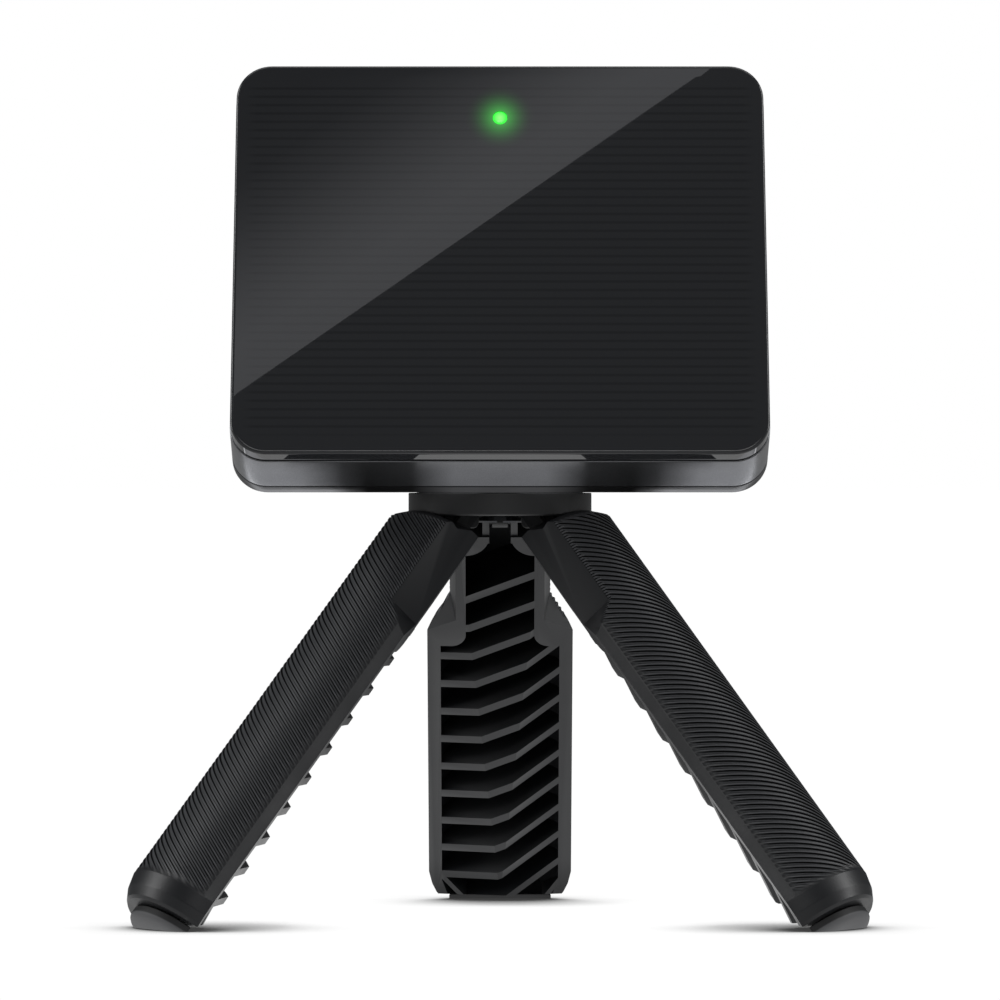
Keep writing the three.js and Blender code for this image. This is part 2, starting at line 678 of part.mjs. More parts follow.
// The hollow that opens towards the tripod's axis, in x and z, with rounded lobes at the neck.
function hollowOutline() {
  const neck = 5.8;
  const wide = 10.1;
  const lobe = neck - EAR_INNER;
  const lobeTop = -LEG_TOP + 0.3;
  const bend = 2.6;
  const bendTop = -26.6;
  const half = [[EAR_INNER, -LEG_TOP + OVERRUN]];
  const quarter = (steps, middleX, middleZ, radius, slant) => {
    for (let step = 0; step <= steps; step++) {
      const angle = Math.PI + ((Math.PI / 2) * step) / steps;
      const x = middleX + radius * Math.cos(angle);
      half.push([x, middleZ + radius * Math.sin(angle) - slant * (x - neck)]);
    }
  };
  quarter(6, neck, lobeTop, lobe, 0);
  quarter(5, neck + bend, bendTop, bend, RIB_SLOPE);
  half.push([wide, bendTop - bend - RIB_SLOPE * (wide - neck)]);
  half.push([wide, -LEG_END + 1]);
  return polygon([...half, ...half.map(([x, z]) => [-x, z]).reverse()]);
}

// How deep the hollow goes, as a turned solid inside the leg's wall.
function hollowDepth() {
  const deep = LEG_RADIUS - LEG_WALL;
  return turned([
    [0, -LEG_END + 1],
    [END_RADIUS - LEG_WALL, -LEG_END + 1],
    [deep, -TAPER_START + 1.5],
    [deep, -11],
    [8, -7],
    [8, -LEG_TOP + OVERRUN],
    [0, -LEG_TOP + OVERRUN],
  ], 24, legMiddle);
}

// A slanted rib that spans the hollow.
function rib(number) {
  const matrix = new THREE.Matrix4()
    .makeTranslation(0, 0, -RIB_FIRST - number * RIB_PITCH)
    .multiply(new THREE.Matrix4().makeRotationY(-Math.atan(RIB_SLOPE)));
  const half = RIB_THICKNESS / 2;
  return box([-14, 14], [-OVERRUN, LEG_RADIUS + 3], [-half, half], matrix);
}

// The ribs stop short of the bundle's middle, on a plane that slants along the leg.
function ribLimit() {
  const top = 4.5;
  const slant = 0.0462;
  const bottom = top - slant * LEG_END;
  return extrudeAcross(
    polygon([
      [-5, OVERRUN],
      [-5, -LEG_END - OVERRUN],
      [bottom, -LEG_END - OVERRUN],
      [top, OVERRUN],
    ]),
    -LEG_RADIUS,
    LEG_RADIUS,
  );
}

// One hinge ear, seen from the side.
function earOutline() {
  const shape = new THREE.Shape();
  shape.moveTo(PIVOT_RADIUS + EAR_RADIUS, 0);
  shape.absarc(PIVOT_RADIUS, 0, EAR_RADIUS, 0, Math.PI, false);
  shape.lineTo(PIVOT_RADIUS - EAR_RADIUS, -LEG_TOP - 1.5);
  shape.lineTo(PIVOT_RADIUS + EAR_RADIUS, -LEG_TOP - 1.5);
  return shape;
}

const FOOT_RADIUS = 10.2;
const STEM = { halfWidth: 3, inner: 7.5, outer: 9.5 };

// One ribbed leg with its two ears.
function leg() {
  let hollow = extrudeBack(hollowOutline(), -OVERRUN, LEG_RADIUS + 3, 5).intersect(hollowDepth());
  for (let number = 0; number < RIB_COUNT; number++) {
    hollow = hollow.subtract(rib(number));
  }
  let body = legOutside().intersect(legSector()).subtract(neckCut(1)).subtract(neckCut(-1));
  body = body.subtract(hollow).subtract(ribLimit());
  const stemHole = box(
    [-STEM.halfWidth - CLEARANCE, STEM.halfWidth + CLEARANCE],
    [STEM.inner - CLEARANCE, STEM.outer + CLEARANCE],
    [-LEG_END - OVERRUN, -LEG_END + 1 + 0.1],
  );
  body = body.subtract(stemHole).subtract(underGround(0.9));
  for (const side of [-1, 1]) {
    const near = EAR_INNER * side;
    const far = EAR_OUTER * side;
    body = body.add(extrudeAcross(earOutline(), Math.min(near, far), Math.max(near, far), 8));
  }
  return body.subtract(rodAcross(PIN_RADIUS + 0.22, PIVOT_RADIUS, 0, -LEG_RADIUS, LEG_RADIUS));
}

// Places a folded leg's solid at its hinge, splayed out and turned to its side of the tripod.
function legPlace(number) {
  return towardsLeg(number)
    .multiply(new THREE.Matrix4().makeTranslation(0, PIVOT_RADIUS, PIVOT_HEIGHT))
    .multiply(new THREE.Matrix4().makeRotationX(SPLAY))
    .multiply(new THREE.Matrix4().makeTranslation(0, -PIVOT_RADIUS, 0));
}

// Everything lower than a height above the ground, in a folded leg's own place.
function underGround(height) {
  return box([-40, 40], [0, 100], [-20, height], legPlace(0).invert());
}

// Rubber foot with a stem in the leg's end, cut level where it meets the ground.
function foot() {
  const top = -LEG_END - 0.2;
  const sole = top - 2.1;
  const inner = 6.4;
  const pad = turned([
    [0, sole],
    [FOOT_RADIUS - 1, sole],
    [FOOT_RADIUS, sole + 0.9],
    [FOOT_RADIUS, top],
    [0, top],
  ], 72, legMiddle).intersect(box([-20, 20], [inner, 20], [sole - OVERRUN, top + OVERRUN]));
  const stem = box(
    [-STEM.halfWidth, STEM.halfWidth],
    [STEM.inner, STEM.outer],
    [top - 0.5, -LEG_END + 1 + CLEARANCE],
  );
  return pad.add(stem).subtract(underGround(0));
}

// ---------------------------------------------------------------- assembly

const legNames = ['rear', 'left', 'right'];

function buildTripod() {
  const tripod = new THREE.Group();
  tripod.add(
    piece('hub_body', hubBody(), mattBlack),
    piece('hub_top_pad', hubTopPad(), rubber),
    piece('mount_stud', mountStud(), steel),
  );
  legNames.forEach((name, number) => {
    const splayed = new THREE.Group();
    splayed.applyMatrix4(legPlace(number));
    splayed.add(piece(`leg_${name}`, leg(), legBlack), piece(`foot_${name}`, foot(), rubber));
    const pin = piece(`hinge_pin_${name}`, hingePin(), steel);
    const pinPlace = new THREE.Matrix4().makeTranslation(0, PIVOT_RADIUS, PIVOT_HEIGHT);
    pin.applyMatrix4(towardsLeg(number).multiply(pinPlace));
    tripod.add(splayed, pin);
  });
  return tripod;
}

const monitor = new THREE.Group();
monitor.add(buildDevice(), buildTripod());

// The origin goes below the middle of the object's bounding box.
const extent = new THREE.Box3().setFromObject(monitor, true);
monitor.position.set(-(extent.min.x + extent.max.x) / 2, -(extent.min.y + extent.max.y) / 2, -extent.min.z);

export default monitor;
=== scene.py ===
# Looks for a portable radar launch monitor on a folding mini tripod.
# Lengths in this script are millimetres until a mesh is made, which turns them into metres.

import json
import math

import bmesh
import bpy
from mathutils import Matrix, Vector


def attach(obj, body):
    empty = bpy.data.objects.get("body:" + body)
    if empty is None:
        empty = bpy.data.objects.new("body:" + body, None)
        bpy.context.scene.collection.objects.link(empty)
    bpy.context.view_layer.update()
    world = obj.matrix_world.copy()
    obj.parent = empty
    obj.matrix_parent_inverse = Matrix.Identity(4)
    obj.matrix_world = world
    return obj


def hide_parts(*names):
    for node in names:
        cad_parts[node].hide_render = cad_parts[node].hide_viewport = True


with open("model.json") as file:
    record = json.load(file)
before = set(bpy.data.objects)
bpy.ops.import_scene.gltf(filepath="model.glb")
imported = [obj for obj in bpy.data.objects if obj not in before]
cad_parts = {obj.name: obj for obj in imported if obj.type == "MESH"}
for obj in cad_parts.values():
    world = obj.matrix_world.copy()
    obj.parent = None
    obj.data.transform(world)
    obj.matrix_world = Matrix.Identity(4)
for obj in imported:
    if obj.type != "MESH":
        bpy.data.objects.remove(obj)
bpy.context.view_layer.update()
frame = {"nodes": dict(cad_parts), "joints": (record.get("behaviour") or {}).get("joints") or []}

MM = 0.001
LEG_NAMES = ("rear", "left", "right")

# ---------------------------------------------------------------- places taken from the frame

joints = {joint["name"]: joint for joint in frame["joints"]}
# the tripod's upright axis, at the level of the top pad
AXIS = Vector(joints["device_turn"]["pos_m"]) / MM
LEAN = math.radians(20)
SPLAY = math.radians(39.5)
PIVOT_RADIUS = 6
PIVOT_HEIGHT = joints["leg_rear_fold"]["pos_m"][2] / MM
PAD_TOP = AXIS.z
BACK_EDGE_Z = PAD_TOP + 0.25

CASE_DEPTH = 18.5
CASE_FORWARD = 6.5  # from the axis to the lower back edge of the case
CASE_PLACE = (
    Matrix.Translation((
        0,
        AXIS.y - CASE_FORWARD - CASE_DEPTH * math.cos(LEAN),
        BACK_EDGE_Z + CASE_DEPTH * math.sin(LEAN),
    ))
    @ Matrix.Rotation(-LEAN, 4, "X")
)
HUB_PLACE = Matrix.Translation((0, AXIS.y, 0))


def towards_leg(number):
    """The turn about the tripod's axis that takes the rear leg's direction to another leg's."""
    return Matrix.Rotation(number * 2 * math.pi / 3, 4, "Z")


def leg_place(number):
    """The open place of a leg that is drawn folded: x across it, y outwards, z up from its pin."""
    return (
        HUB_PLACE
        @ towards_leg(number)
        @ Matrix.Translation((0, PIVOT_RADIUS, PIVOT_HEIGHT))
        @ Matrix.Rotation(SPLAY, 4, "X")
        @ Matrix.Translation((0, -PIVOT_RADIUS, 0))
    )


def in_metres(matrix):
    """The same place with its translation in metres."""
    place = matrix.copy()
    place.translation = matrix.translation * MM
    return place


# ---------------------------------------------------------------- driving dimensions

CASE_HEIGHT = 69.2
CASE_WIDTH_BOTTOM = 88.9
CASE_WIDTH_TOP = 88.0
CASE_CORNER = 6
LIGHT_HEIGHT = CASE_HEIGHT - 9.55
LENS_RADIUS = 1.2

LEG_RADIUS = 13.67
LEG_SHIFT = 1.56  # from the tripod's axis out to the middle of the leg's round outside
LEG_HALF_WIDTH = 12.4
LEG_TOP = 5.8
LEG_END = 88.6
LEG_WALL = 1.7
TAPER_START = 84.1
SECTOR_SLOPE = math.tan(math.pi / 6)
NECK_DRAFT = 0.14
RIB_SLOPE = 0.46
RIB_START = 16.2
RIB_PITCH = 6.26
RIB_COUNT = 12
RIB_THICKNESS = 1.4
LEG_COLOR = (0.0109, 0.0117, 0.0136)
WORN_PLASTIC = (0.04, 0.041, 0.043)

RIDGE_PITCH = 1.0
RIDGE_SLOPE = 0.52
RIDGE_DEPTH = 0.34
GRIP_ANGLE = math.radians(56.5)
GRIP_TOP = 6.9
GRIP_END = TAPER_START + 0.1
GRIP_EDGE = GRIP_ANGLE + 0.002
GRIP_RISE = RIDGE_SLOPE * LEG_RADIUS * GRIP_EDGE

# ---------------------------------------------------------------- mesh tools

def new_object(name, data):
    made = bpy.data.objects.new(name, data)
    bpy.context.scene.collection.objects.link(made)
    return made


def from_faces(name, points, faces, flat_faces=()):
    """A smooth-shaded mesh, apart from its flat faces."""
    mesh = bpy.data.meshes.new(name)
    mesh.from_pydata([Vector(point) * MM for point in points], [], faces)
    mesh.polygons.foreach_set("use_smooth", [True] * len(faces))
    for number in flat_faces:
        mesh.polygons[number].use_smooth = False
    mesh.update()
    return new_object(name, mesh)


def rings_to_object(name, rings, closed_loop=False):
    """A skin through rings of equal length; its ends are capped, or joined when closed_loop is set."""
    count = len(rings[0])
    points = [point for ring in rings for point in ring]
    faces = []
    steps = len(rings) if closed_loop else len(rings) - 1
    for step in range(steps):
        here = step * count
        there = ((step + 1) % len(rings)) * count
        for i in range(count):
            j = (i + 1) % count
            faces.append((here + i, here + j, there + j, there + i))
    flat = []
    if not closed_loop:
        flat = [len(faces), len(faces) + 1]
        last = (len(rings) - 1) * count
        faces.append(tuple(reversed(range(count))))
        faces.append(tuple(last + i for i in range(count)))
    made = from_faces(name, points, faces, flat)
    face_outwards(made)
    return made


def face_outwards(made):
    """Turns every face of a closed mesh outwards."""
    mesh = bmesh.new()
    mesh.from_mesh(made.data)
    bmesh.ops.recalc_face_normals(mesh, faces=mesh.faces)
    mesh.to_mesh(made.data)
    mesh.free()


def fillet(points, radius, segments=4, closed=False):
    """A polyline with its corners rounded; radius is one number or one for each point."""
    count = len(points)
    radii = radius if isinstance(radius, (list, tuple)) else [radius] * count
    rounded = []
    for i, point in enumerate(points):
        corner = Vector(point)
        if radii[i] <= 0 or (not closed and i in (0, count - 1)):
            rounded.append(tuple(corner))
            continue
        to_last = Vector(points[i - 1]) - corner
        to_next = Vector(points[(i + 1) % count]) - corner
        half = to_last.angle(to_next) / 2
        back = radii[i] / math.tan(half)
        back = min(back, 0.49 * to_last.length, 0.49 * to_next.length)
        size = back * math.tan(half)
        start = corner + to_last.normalized() * back
        end = corner + to_next.normalized() * back
        inwards = (to_last.normalized() + to_next.normalized()).normalized()
        middle = corner + inwards * (size / math.sin(half))
        for step in range(segments + 1):
            along = (start - middle).lerp(end - middle, step / segments)
            if along.length > 1e-9:
                along = along.normalized() * size
            rounded.append(tuple(middle + along))
    return rounded


def turned(name, profile, segments=96, closed_loop=False):
    """A profile of (radius, height) points turned about z; a closed profile makes a ring."""
    angles = [2 * math.pi * i / segments for i in range(segments)]
    rings = [[(r * math.cos(a), r * math.sin(a), z) for a in angles] for r, z in profile]
    return rings_to_object(name, rings, closed_loop)


def prism(name, outline, low, high, axis="Z", matrix=None):
    """An outline in two coordinates, drawn out along the third one: x (outline y,z), y (x,z) or z (x,y)."""
    place = {
        "Z": lambda a, b, c: (a, b, c),
        "Y": lambda a, b, c: (a, c, b),
        "X": lambda a, b, c: (c, a, b),
    }[axis]
    rings = [[place(a, b, c) for a, b in outline] for c in (low, high)]
    made = rings_to_object(name, rings)
    made.data.polygons.foreach_set("use_smooth", [False] * len(made.data.polygons))
    if matrix is not None:
        made.data.transform(in_metres(matrix))
        face_outwards(made)
    return made


def rectangle(left, right, front, back):
    """The four corners of a rectangle, in order round it."""
    return [(left, front), (right, front), (right, back), (left, back)]


def box(x, y, z, matrix=None):
    """A block between pairs of x, y and z."""
    return prism("box", rectangle(*x, *y), *z, "Z", matrix)


def apply_modifiers(made):
    """Replaces a piece's mesh by what its modifiers make of it."""
    depsgraph = bpy.context.evaluated_depsgraph_get()
    mesh = bpy.data.meshes.new_from_object(made.evaluated_get(depsgraph))
    made.modifiers.clear()
    old = made.data
    made.data = mesh
    bpy.data.meshes.remove(old)


def combine(made, tool, operation):
    """Joins made with tool, cuts tool from it, or keeps what both fill. The tool is used up."""
    modifier = made.modifiers.new("combine", "BOOLEAN")
    modifier.operation = operation
    modifier.solver = "EXACT"
    modifier.object = tool
    apply_modifiers(made)
    mesh = tool.data
    bpy.data.objects.remove(tool)
    bpy.data.meshes.remove(mesh)
    return made


def cut(made, *tools):
    for tool in tools:
        combine(made, tool, "DIFFERENCE")
    return made


def join(made, *tools):
    for tool in tools:
        combine(made, tool, "UNION")
    return made


def keep_inside(made, tool):
    return combine(made, tool, "INTERSECT")


def clean(made, distance=0.01):
    """Removes points that lie on each other and faces with no area."""
    mesh = bmesh.new()
    mesh.from_mesh(made.data)
    bmesh.ops.remove_doubles(mesh, verts=mesh.verts, dist=distance * MM)
    bmesh.ops.dissolve_degenerate(mesh, edges=mesh.edges, dist=distance * MM)
    mesh.to_mesh(made.data)
    mesh.free()
    return made


def soften(made, width, segments=2, angle=35, clamped=False):
    """Rounds the edges sharper than an angle, and keeps flat faces flat in their shading."""
    clean(made)
    if width:
        modifier = made.modifiers.new("edges", "BEVEL")
        modifier.width = width * MM
        modifier.segments = segments
        modifier.limit_method = "ANGLE"
        modifier.angle_limit = math.radians(angle)
        modifier.use_clamp_overlap = clamped
        apply_modifiers(made)
    made.data.polygons.foreach_set("use_smooth", [True] * len(made.data.polygons))
    made.data.set_sharp_from_angle(angle=math.radians(angle))
    weighted = made.modifiers.new("normals", "WEIGHTED_NORMAL")
    weighted.keep_sharp = True
    weighted.mode = "FACE_AREA"
    apply_modifiers(made)
    return made


# ---------------------------------------------------------------- materials

class Nodes:
    """Adds nodes to a node tree and links them."""

    def __init__(self, tree):
        self.tree = tree

    def node(self, kind, **settings):
        made = self.tree.nodes.new(kind)
        for name, value in settings.items():
            setattr(made, name, value)
        return made

    def link(self, source, target):
        self.tree.links.new(source, target)

    def put(self, value, socket):
        """Gives a socket a plain value, or the output of another node."""
        if isinstance(value, bpy.types.NodeSocket):
            self.link(value, socket)
        else:
            socket.default_value = value

    def math(self, operation, *values):
        made = self.node("ShaderNodeMath", operation=operation)
        for socket, value in zip(made.inputs, values):
            self.put(value, socket)
        return made.outputs[0]

    def times(self, product, *values):
        """The product of all its values."""
        for value in values:
            product = self.math("MULTIPLY", product, value)
        return product

    def ranged(self, value, low, high, new_low, new_high):
        """Moves a value from one range to another, held at both ends."""
        made = self.node("ShaderNodeMapRange")
        for socket, item in zip(made.inputs, (value, low, high, new_low, new_high)):
            self.put(item, socket)
        return made.outputs[0]

    def own_place(self):
        """The surface's coordinates in its own object, in metres."""
        return self.node("ShaderNodeTexCoord").outputs["Object"]

    def axes(self):
        """The surface's own x, y and z, in metres."""
        made = self.node("ShaderNodeSeparateXYZ")
        self.link(self.own_place(), made.inputs[0])
        return made.outputs

    def distance_from(self, *point):
        """The distance in metres from a point in millimetres."""
        made = self.node("ShaderNodeVectorMath", operation="DISTANCE")
        self.link(self.own_place(), made.inputs[0])
        made.inputs[1].default_value = Vector(point) * MM
        return made.outputs["Value"]

    def openness(self, reach, samples):
        """How open the surface is, within a reach in millimetres: 1 in the open, 0 in a closed corner."""
        made = self.node("ShaderNodeAmbientOcclusion", samples=samples)
        made.inputs["Distance"].default_value = reach * MM
        return made.outputs["AO"]

    def mix_colors(self, amount, first, second, **settings):
        """Blends two colours, each of them plain or another node's output."""
        made = self.node("ShaderNodeMix", data_type="RGBA", **settings)
        for number, value in ((0, amount), (6, first), (7, second)):
            self.put(value, made.inputs[number])
        return made.outputs[2]


class Surface(Nodes):
    """A node material that starts from the shader's own sockets and adds variation to it."""

    def __init__(self, name, color, roughness, metallic=0.0, **sockets):
        self.material = bpy.data.materials.new(name)
        self.material.use_nodes = True
        super().__init__(self.material.node_tree)
        self.shader = self.tree.nodes["Principled BSDF"]
        self.color = (*color, 1)
        self.height = None
        self.place = self.own_place()
        self.set("Base Color", self.color)
        self.set("Roughness", roughness)
        self.set("Metallic", metallic)
        for socket, value in sockets.items():
            self.set(socket.replace("_", " "), value)

    def set(self, socket, value):
        self.put(value, self.shader.inputs[socket])

    def noise(self, size, detail=2.0, stretch=(1, 1, 1)):
        """Noise whose blobs are about size millimetres across."""
        mapping = self.node("ShaderNodeMapping")
        mapping.inputs["Scale"].default_value = stretch
        self.link(self.place, mapping.inputs["Vector"])
        made = self.node("ShaderNodeTexNoise")
        made.inputs["Scale"].default_value = 1 / (size * MM)
        made.inputs["Detail"].default_value = detail
        self.link(mapping.outputs[0], made.inputs["Vector"])
        return made.outputs[0]

    def cells(self, size):
        """Round grains about size millimetres across."""
        made = self.node("ShaderNodeTexVoronoi")
        made.inputs["Scale"].default_value = 1 / (size * MM)
        self.link(self.place, made.inputs["Vector"])
        return made.outputs["Distance"]

    def bump(self, height, depth):
        """Adds relief that is depth millimetres high."""
        made = self.node("ShaderNodeBump")
        made.inputs["Distance"].default_value = depth * MM
        made.inputs["Strength"].default_value = 1
        self.link(height, made.inputs["Height"])
        if self.height is not None:
            self.link(self.height, made.inputs["Normal"])
        self.height = made.outputs[0]
        self.set("Normal", self.height)

    def vary_roughness(self, value, low, high):
        self.set("Roughness", self.ranged(value, 0.3, 0.7, low, high))

    def paint(self, amount, other, **settings):
        """Blends another colour over the base colour."""
        self.color = self.mix_colors(amount, self.color, other, **settings)
        self.set("Base Color", self.color)

    def vary_color(self, value, other, low=0.3, high=0.7):
        """Blends in another colour where value is high."""
        self.paint(self.ranged(value, low, high, 0, 1), (*other, 1))

    def shade_recesses(self, reach):
        """Paints shade into deep corners: over a reach in millimetres, darkens the colour and dulls the
        specular where the surface is closed in.
        """
        # painted shade: the colour and the specular fall where little is open around the surface
        level = self.ranged(self.openness(reach, 8), 0.15, 0.9, 0.4, 1)
        self.paint(1, level, blend_type="MULTIPLY")
        self.set("Specular IOR Level", self.times(level, 0.5))

    def wear(self, other):
        """Lightens the convex edges a little."""
        self.vary_color(self.node("ShaderNodeNewGeometry").outputs["Pointiness"], other, 0.52, 0.6)


def moulded(name, color, roughness, grain=0.25, depth=0.012, worn=None, **sockets):
    """Moulded plastic: a fine spark texture, cloudy gloss, and slightly polished edges."""
    surface = Surface(name, color, roughness, **sockets)
    surface.bump(surface.noise(grain, 3), depth)
    surface.vary_roughness(surface.noise(9, 3), roughness - 0.05, roughness + 0.05)
    surface.vary_color(surface.noise(14, 2), tuple(1.18 * c for c in color))
    if worn:
        surface.wear(worn)
    return surface


def metal(name, color, roughness, grain=0.3):
    """Bare metal with fine turning marks and dull patches."""
    surface = Surface(name, color, roughness, 1.0)
    surface.bump(surface.noise(grain, 2, (1, 1, 6)), 0.004)
    surface.vary_roughness(surface.noise(2.5, 3), roughness - 0.07, roughness + 0.1)
    surface.vary_color(surface.noise(1.5, 4), tuple(0.82 * c for c in color))
    return surface


def face_gloss():
    """Glossy black window over fine level lines, with the status light's glow around its lens."""
    line_pitch = 1.5
    surface = Surface("face_gloss", (0.0365, 0.038, 0.0415), 0.005, IOR=1.5)
    x, y, z = surface.axes()
    wave = surface.math("SINE", surface.times(z, 2 * math.pi / (line_pitch * MM)))
    on_line = surface.ranged(wave, 0.25, 0.9, 0, 1)
    from_middle = surface.math("ABSOLUTE", x)
    from_half_height = surface.math("ABSOLUTE", surface.math("SUBTRACT", z, CASE_HEIGHT / 2 * MM))
    sideways = surface.ranged(from_middle, 40.4 * MM, 42.4 * MM, 1, 0)
    upright = surface.ranged(from_half_height, 30.2 * MM, 31.8 * MM, 1, 0)
    front = surface.math("LESS_THAN", y, 0.3 * MM)
    surface.vary_color(surface.times(on_line, sideways, upright, front), (0.028, 0.0293, 0.032), 0, 1)
    surface.vary_roughness(surface.noise(22, 4), 0.002, 0.008)
    near_lamp = surface.ranged(surface.distance_from(0, 0, LIGHT_HEIGHT), 0.8 * MM, 6.5 * MM, 1, 0)
    surface.set("Emission Color", (0.09, 0.9, 0.1, 1))
    surface.set("Emission Strength", surface.times(surface.math("POWER", near_lamp, 3.2), front, 0.42))
    return surface.material


def case_satin():
    """Metallic grey paint: dark base, fine flakes, and a soft sheen."""
    surface = Surface("case_satin", (0.105, 0.108, 0.115), 0.34, 0.75)
    surface.set("Coat Weight", 0.25)
    surface.set("Coat Roughness", 0.2)
    surface.vary_color(surface.cells(0.12), (0.17, 0.175, 0.185), 0.2, 0.75)
    surface.bump(surface.noise(0.16, 3), 0.004)
    surface.vary_roughness(surface.noise(7, 3), 0.3, 0.38)
    return surface.material


def leg_material():
    """Glass-filled nylon: fine grain and faint cloudy sheen, with painted shade in its deep recesses."""
    surface = moulded("leg_black", LEG_COLOR, 0.4, 0.3, 0.01, WORN_PLASTIC)
    # painted shade in the hollow, between the ribs and in other deep corners
    surface.shade_recesses(8)
    return surface.material


def grip_material():
    """The ridged skin: painted highlight on its crests and valley floors, and painted shade on the flanks
    between them, where the specular is dulled too.
    """
    surface = Surface("leg_grip", LEG_COLOR, 0.4)
    x, y, z = surface.axes()
    angle = surface.math("ARCTAN2", x, surface.math("SUBTRACT", y, LEG_SHIFT * MM))
    wound = surface.times(angle, RIDGE_SLOPE * LEG_RADIUS / RIDGE_PITCH)
    lengthwise = surface.times(z, -1 / (RIDGE_PITCH * MM))
    start = (GRIP_RISE - GRIP_TOP) / RIDGE_PITCH
    phase = surface.math("FRACT", surface.math("ADD", surface.math("ADD", lengthwise, wound), start))
    away = surface.times(surface.math("ABSOLUTE", surface.math("SUBTRACT", phase, 0.5)), 2)
    to_flank = surface.math("ABSOLUTE", surface.math("SUBTRACT", away, 0.48))
    painted_highlight_part = surface.ranged(to_flank, 0.08, 0.26, 0, 1)
    from_side = surface.math("SUBTRACT", GRIP_EDGE, surface.math("ABSOLUTE", angle))
    side_fade = surface.ranged(from_side, 0.02, 0.11, 0, 1)
    end_fade = surface.ranged(z, -(GRIP_END - 0.3) * MM, -(GRIP_END - 1.4) * MM, 0, 1)
    ridged = surface.times(side_fade, end_fade)
    flank = surface.times(ridged, surface.math("SUBTRACT", 1.0, painted_highlight_part))
    # painted highlight: the crests and valley floors are made lighter
    surface.vary_color(surface.times(ridged, painted_highlight_part), (0.074, 0.0765, 0.0825), 0, 1)
    # painted shade: the flanks are made darker and their specular is turned down
    surface.vary_color(flank, (0.0015, 0.0015, 0.0017), 0, 1)
    surface.set("Specular IOR Level", surface.ranged(flank, 0, 1, 0.5, 0.03))
    surface.bump(surface.noise(0.3, 3), 0.008)
    surface.vary_roughness(surface.noise(9, 3), 0.36, 0.46)
    return surface.material


def rubber():
    """Black rubber with paler, dusty patches."""
    surface = moulded("rubber_black", (0.012, 0.0122, 0.0128), 0.62, 0.4, 0.02)
    surface.vary_color(surface.noise(3, 4), (0.03, 0.03, 0.031), 0.58, 0.8)
    return surface.material


def foot_material():
    """Black rubber whose sole is painted lighter grey: a painted highlight for the light that the sole takes
    from the floor.
    """
    surface = moulded("foot_rubber", (0.008, 0.0082, 0.0088), 0.6, 0.4, 0.02)
    height = surface.axes()[2]
    sole_start = -(LEG_END + 1.25) * MM
    sole = -(LEG_END + 1.45) * MM
    # painted highlight: the sole is lighter grey than the band above it
    surface.vary_color(height, (0.085, 0.086, 0.09), sole_start, sole)
    return surface.material


def lamp_material():
    """The lens of the status light, brightest in its middle."""
    surface = Surface("status_green", (0.1, 0.7, 0.12), 0.2)
    core = surface.ranged(surface.distance_from(0, 0, LIGHT_HEIGHT), 0.2 * MM, 1.05 * MM, 1, 0)
    surface.set("Emission Color", surface.mix_colors(core, (0.03, 0.7, 0.04, 1), (0.2, 0.95, 0.14, 1)))
    surface.set("Emission Strength", 1.3)
    surface.bump(surface.noise(0.3, 2), 0.01)
    return surface.material


def board(name, color, track):
    """Solder mask over faint copper tracks."""
    surface = Surface(name, color, 0.35)
    surface.set("Coat Weight", 0.5)
    lines = surface.noise(1.6, 1, (1, 1, 0.25))
    surface.vary_color(lines, track, 0.48, 0.52)
    surface.bump(lines, 0.03)
    surface.vary_roughness(surface.noise(4, 2), 0.3, 0.45)
    return surface.material


def battery_material():
    """Shrink film with faint wrinkles."""
    surface = Surface("battery_wrap", (0.03, 0.08, 0.16), 0.4)
    surface.bump(surface.noise(3, 4, (1, 1, 3)), 0.08)
    surface.vary_roughness(surface.noise(5, 2), 0.3, 0.5)
    surface.vary_color(surface.noise(8, 3), (0.04, 0.1, 0.19))
    return surface.material


MATERIALS = {
    "front_gloss": face_gloss(),
    "case_satin": case_satin(),
    "case_matt": moulded("case_matt", (0.018, 0.0185, 0.0195), 0.46, 0.35, 0.016, WORN_PLASTIC).material,
    "leg_black": leg_material(),
    "leg_grip": grip_material(),
    "rubber_black": rubber(),
    "foot_rubber": foot_material(),
    "status_green": lamp_material(),
    "steel": metal("steel", (0.045, 0.046, 0.05), 0.34).material,
    "brass": metal("brass", (0.6, 0.42, 0.16), 0.32).material,
    "tin_plate": metal("tin_plate", (0.62, 0.63, 0.64), 0.28, 0.8).material,
    "board_green": board("board_green", (0.006, 0.06, 0.022), (0.02, 0.13, 0.05)),
    "board_black": board("board_black", (0.008, 0.011, 0.01), (0.03, 0.035, 0.03)),
    "battery_wrap": battery_material(),
    "grey_plastic": moulded("grey_plastic", (0.07, 0.072, 0.075), 0.5, 0.3, 0.01).material,
}


def show(made, place, body, finish, *nodes, slot=None):
    """Puts a finished piece in its place, on its body, for the CAD nodes that it stands for."""
    made.matrix_world = in_metres(place)
    made.data.materials.clear()
    made.data.materials.append(MATERIALS[finish])
    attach(made, body)
    if nodes:
        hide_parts(*nodes)
    return made


# ---------------------------------------------------------------- device case

FRONT_DEPTH = 3.05
MID_FRONT = 3.6
MID_BACK = 15.4
REAR_FRONT = 15.7
WALL = 2
BACK_DEPTH = 25.4
INTO_CASE = CASE_PLACE.inverted() @ HUB_PLACE


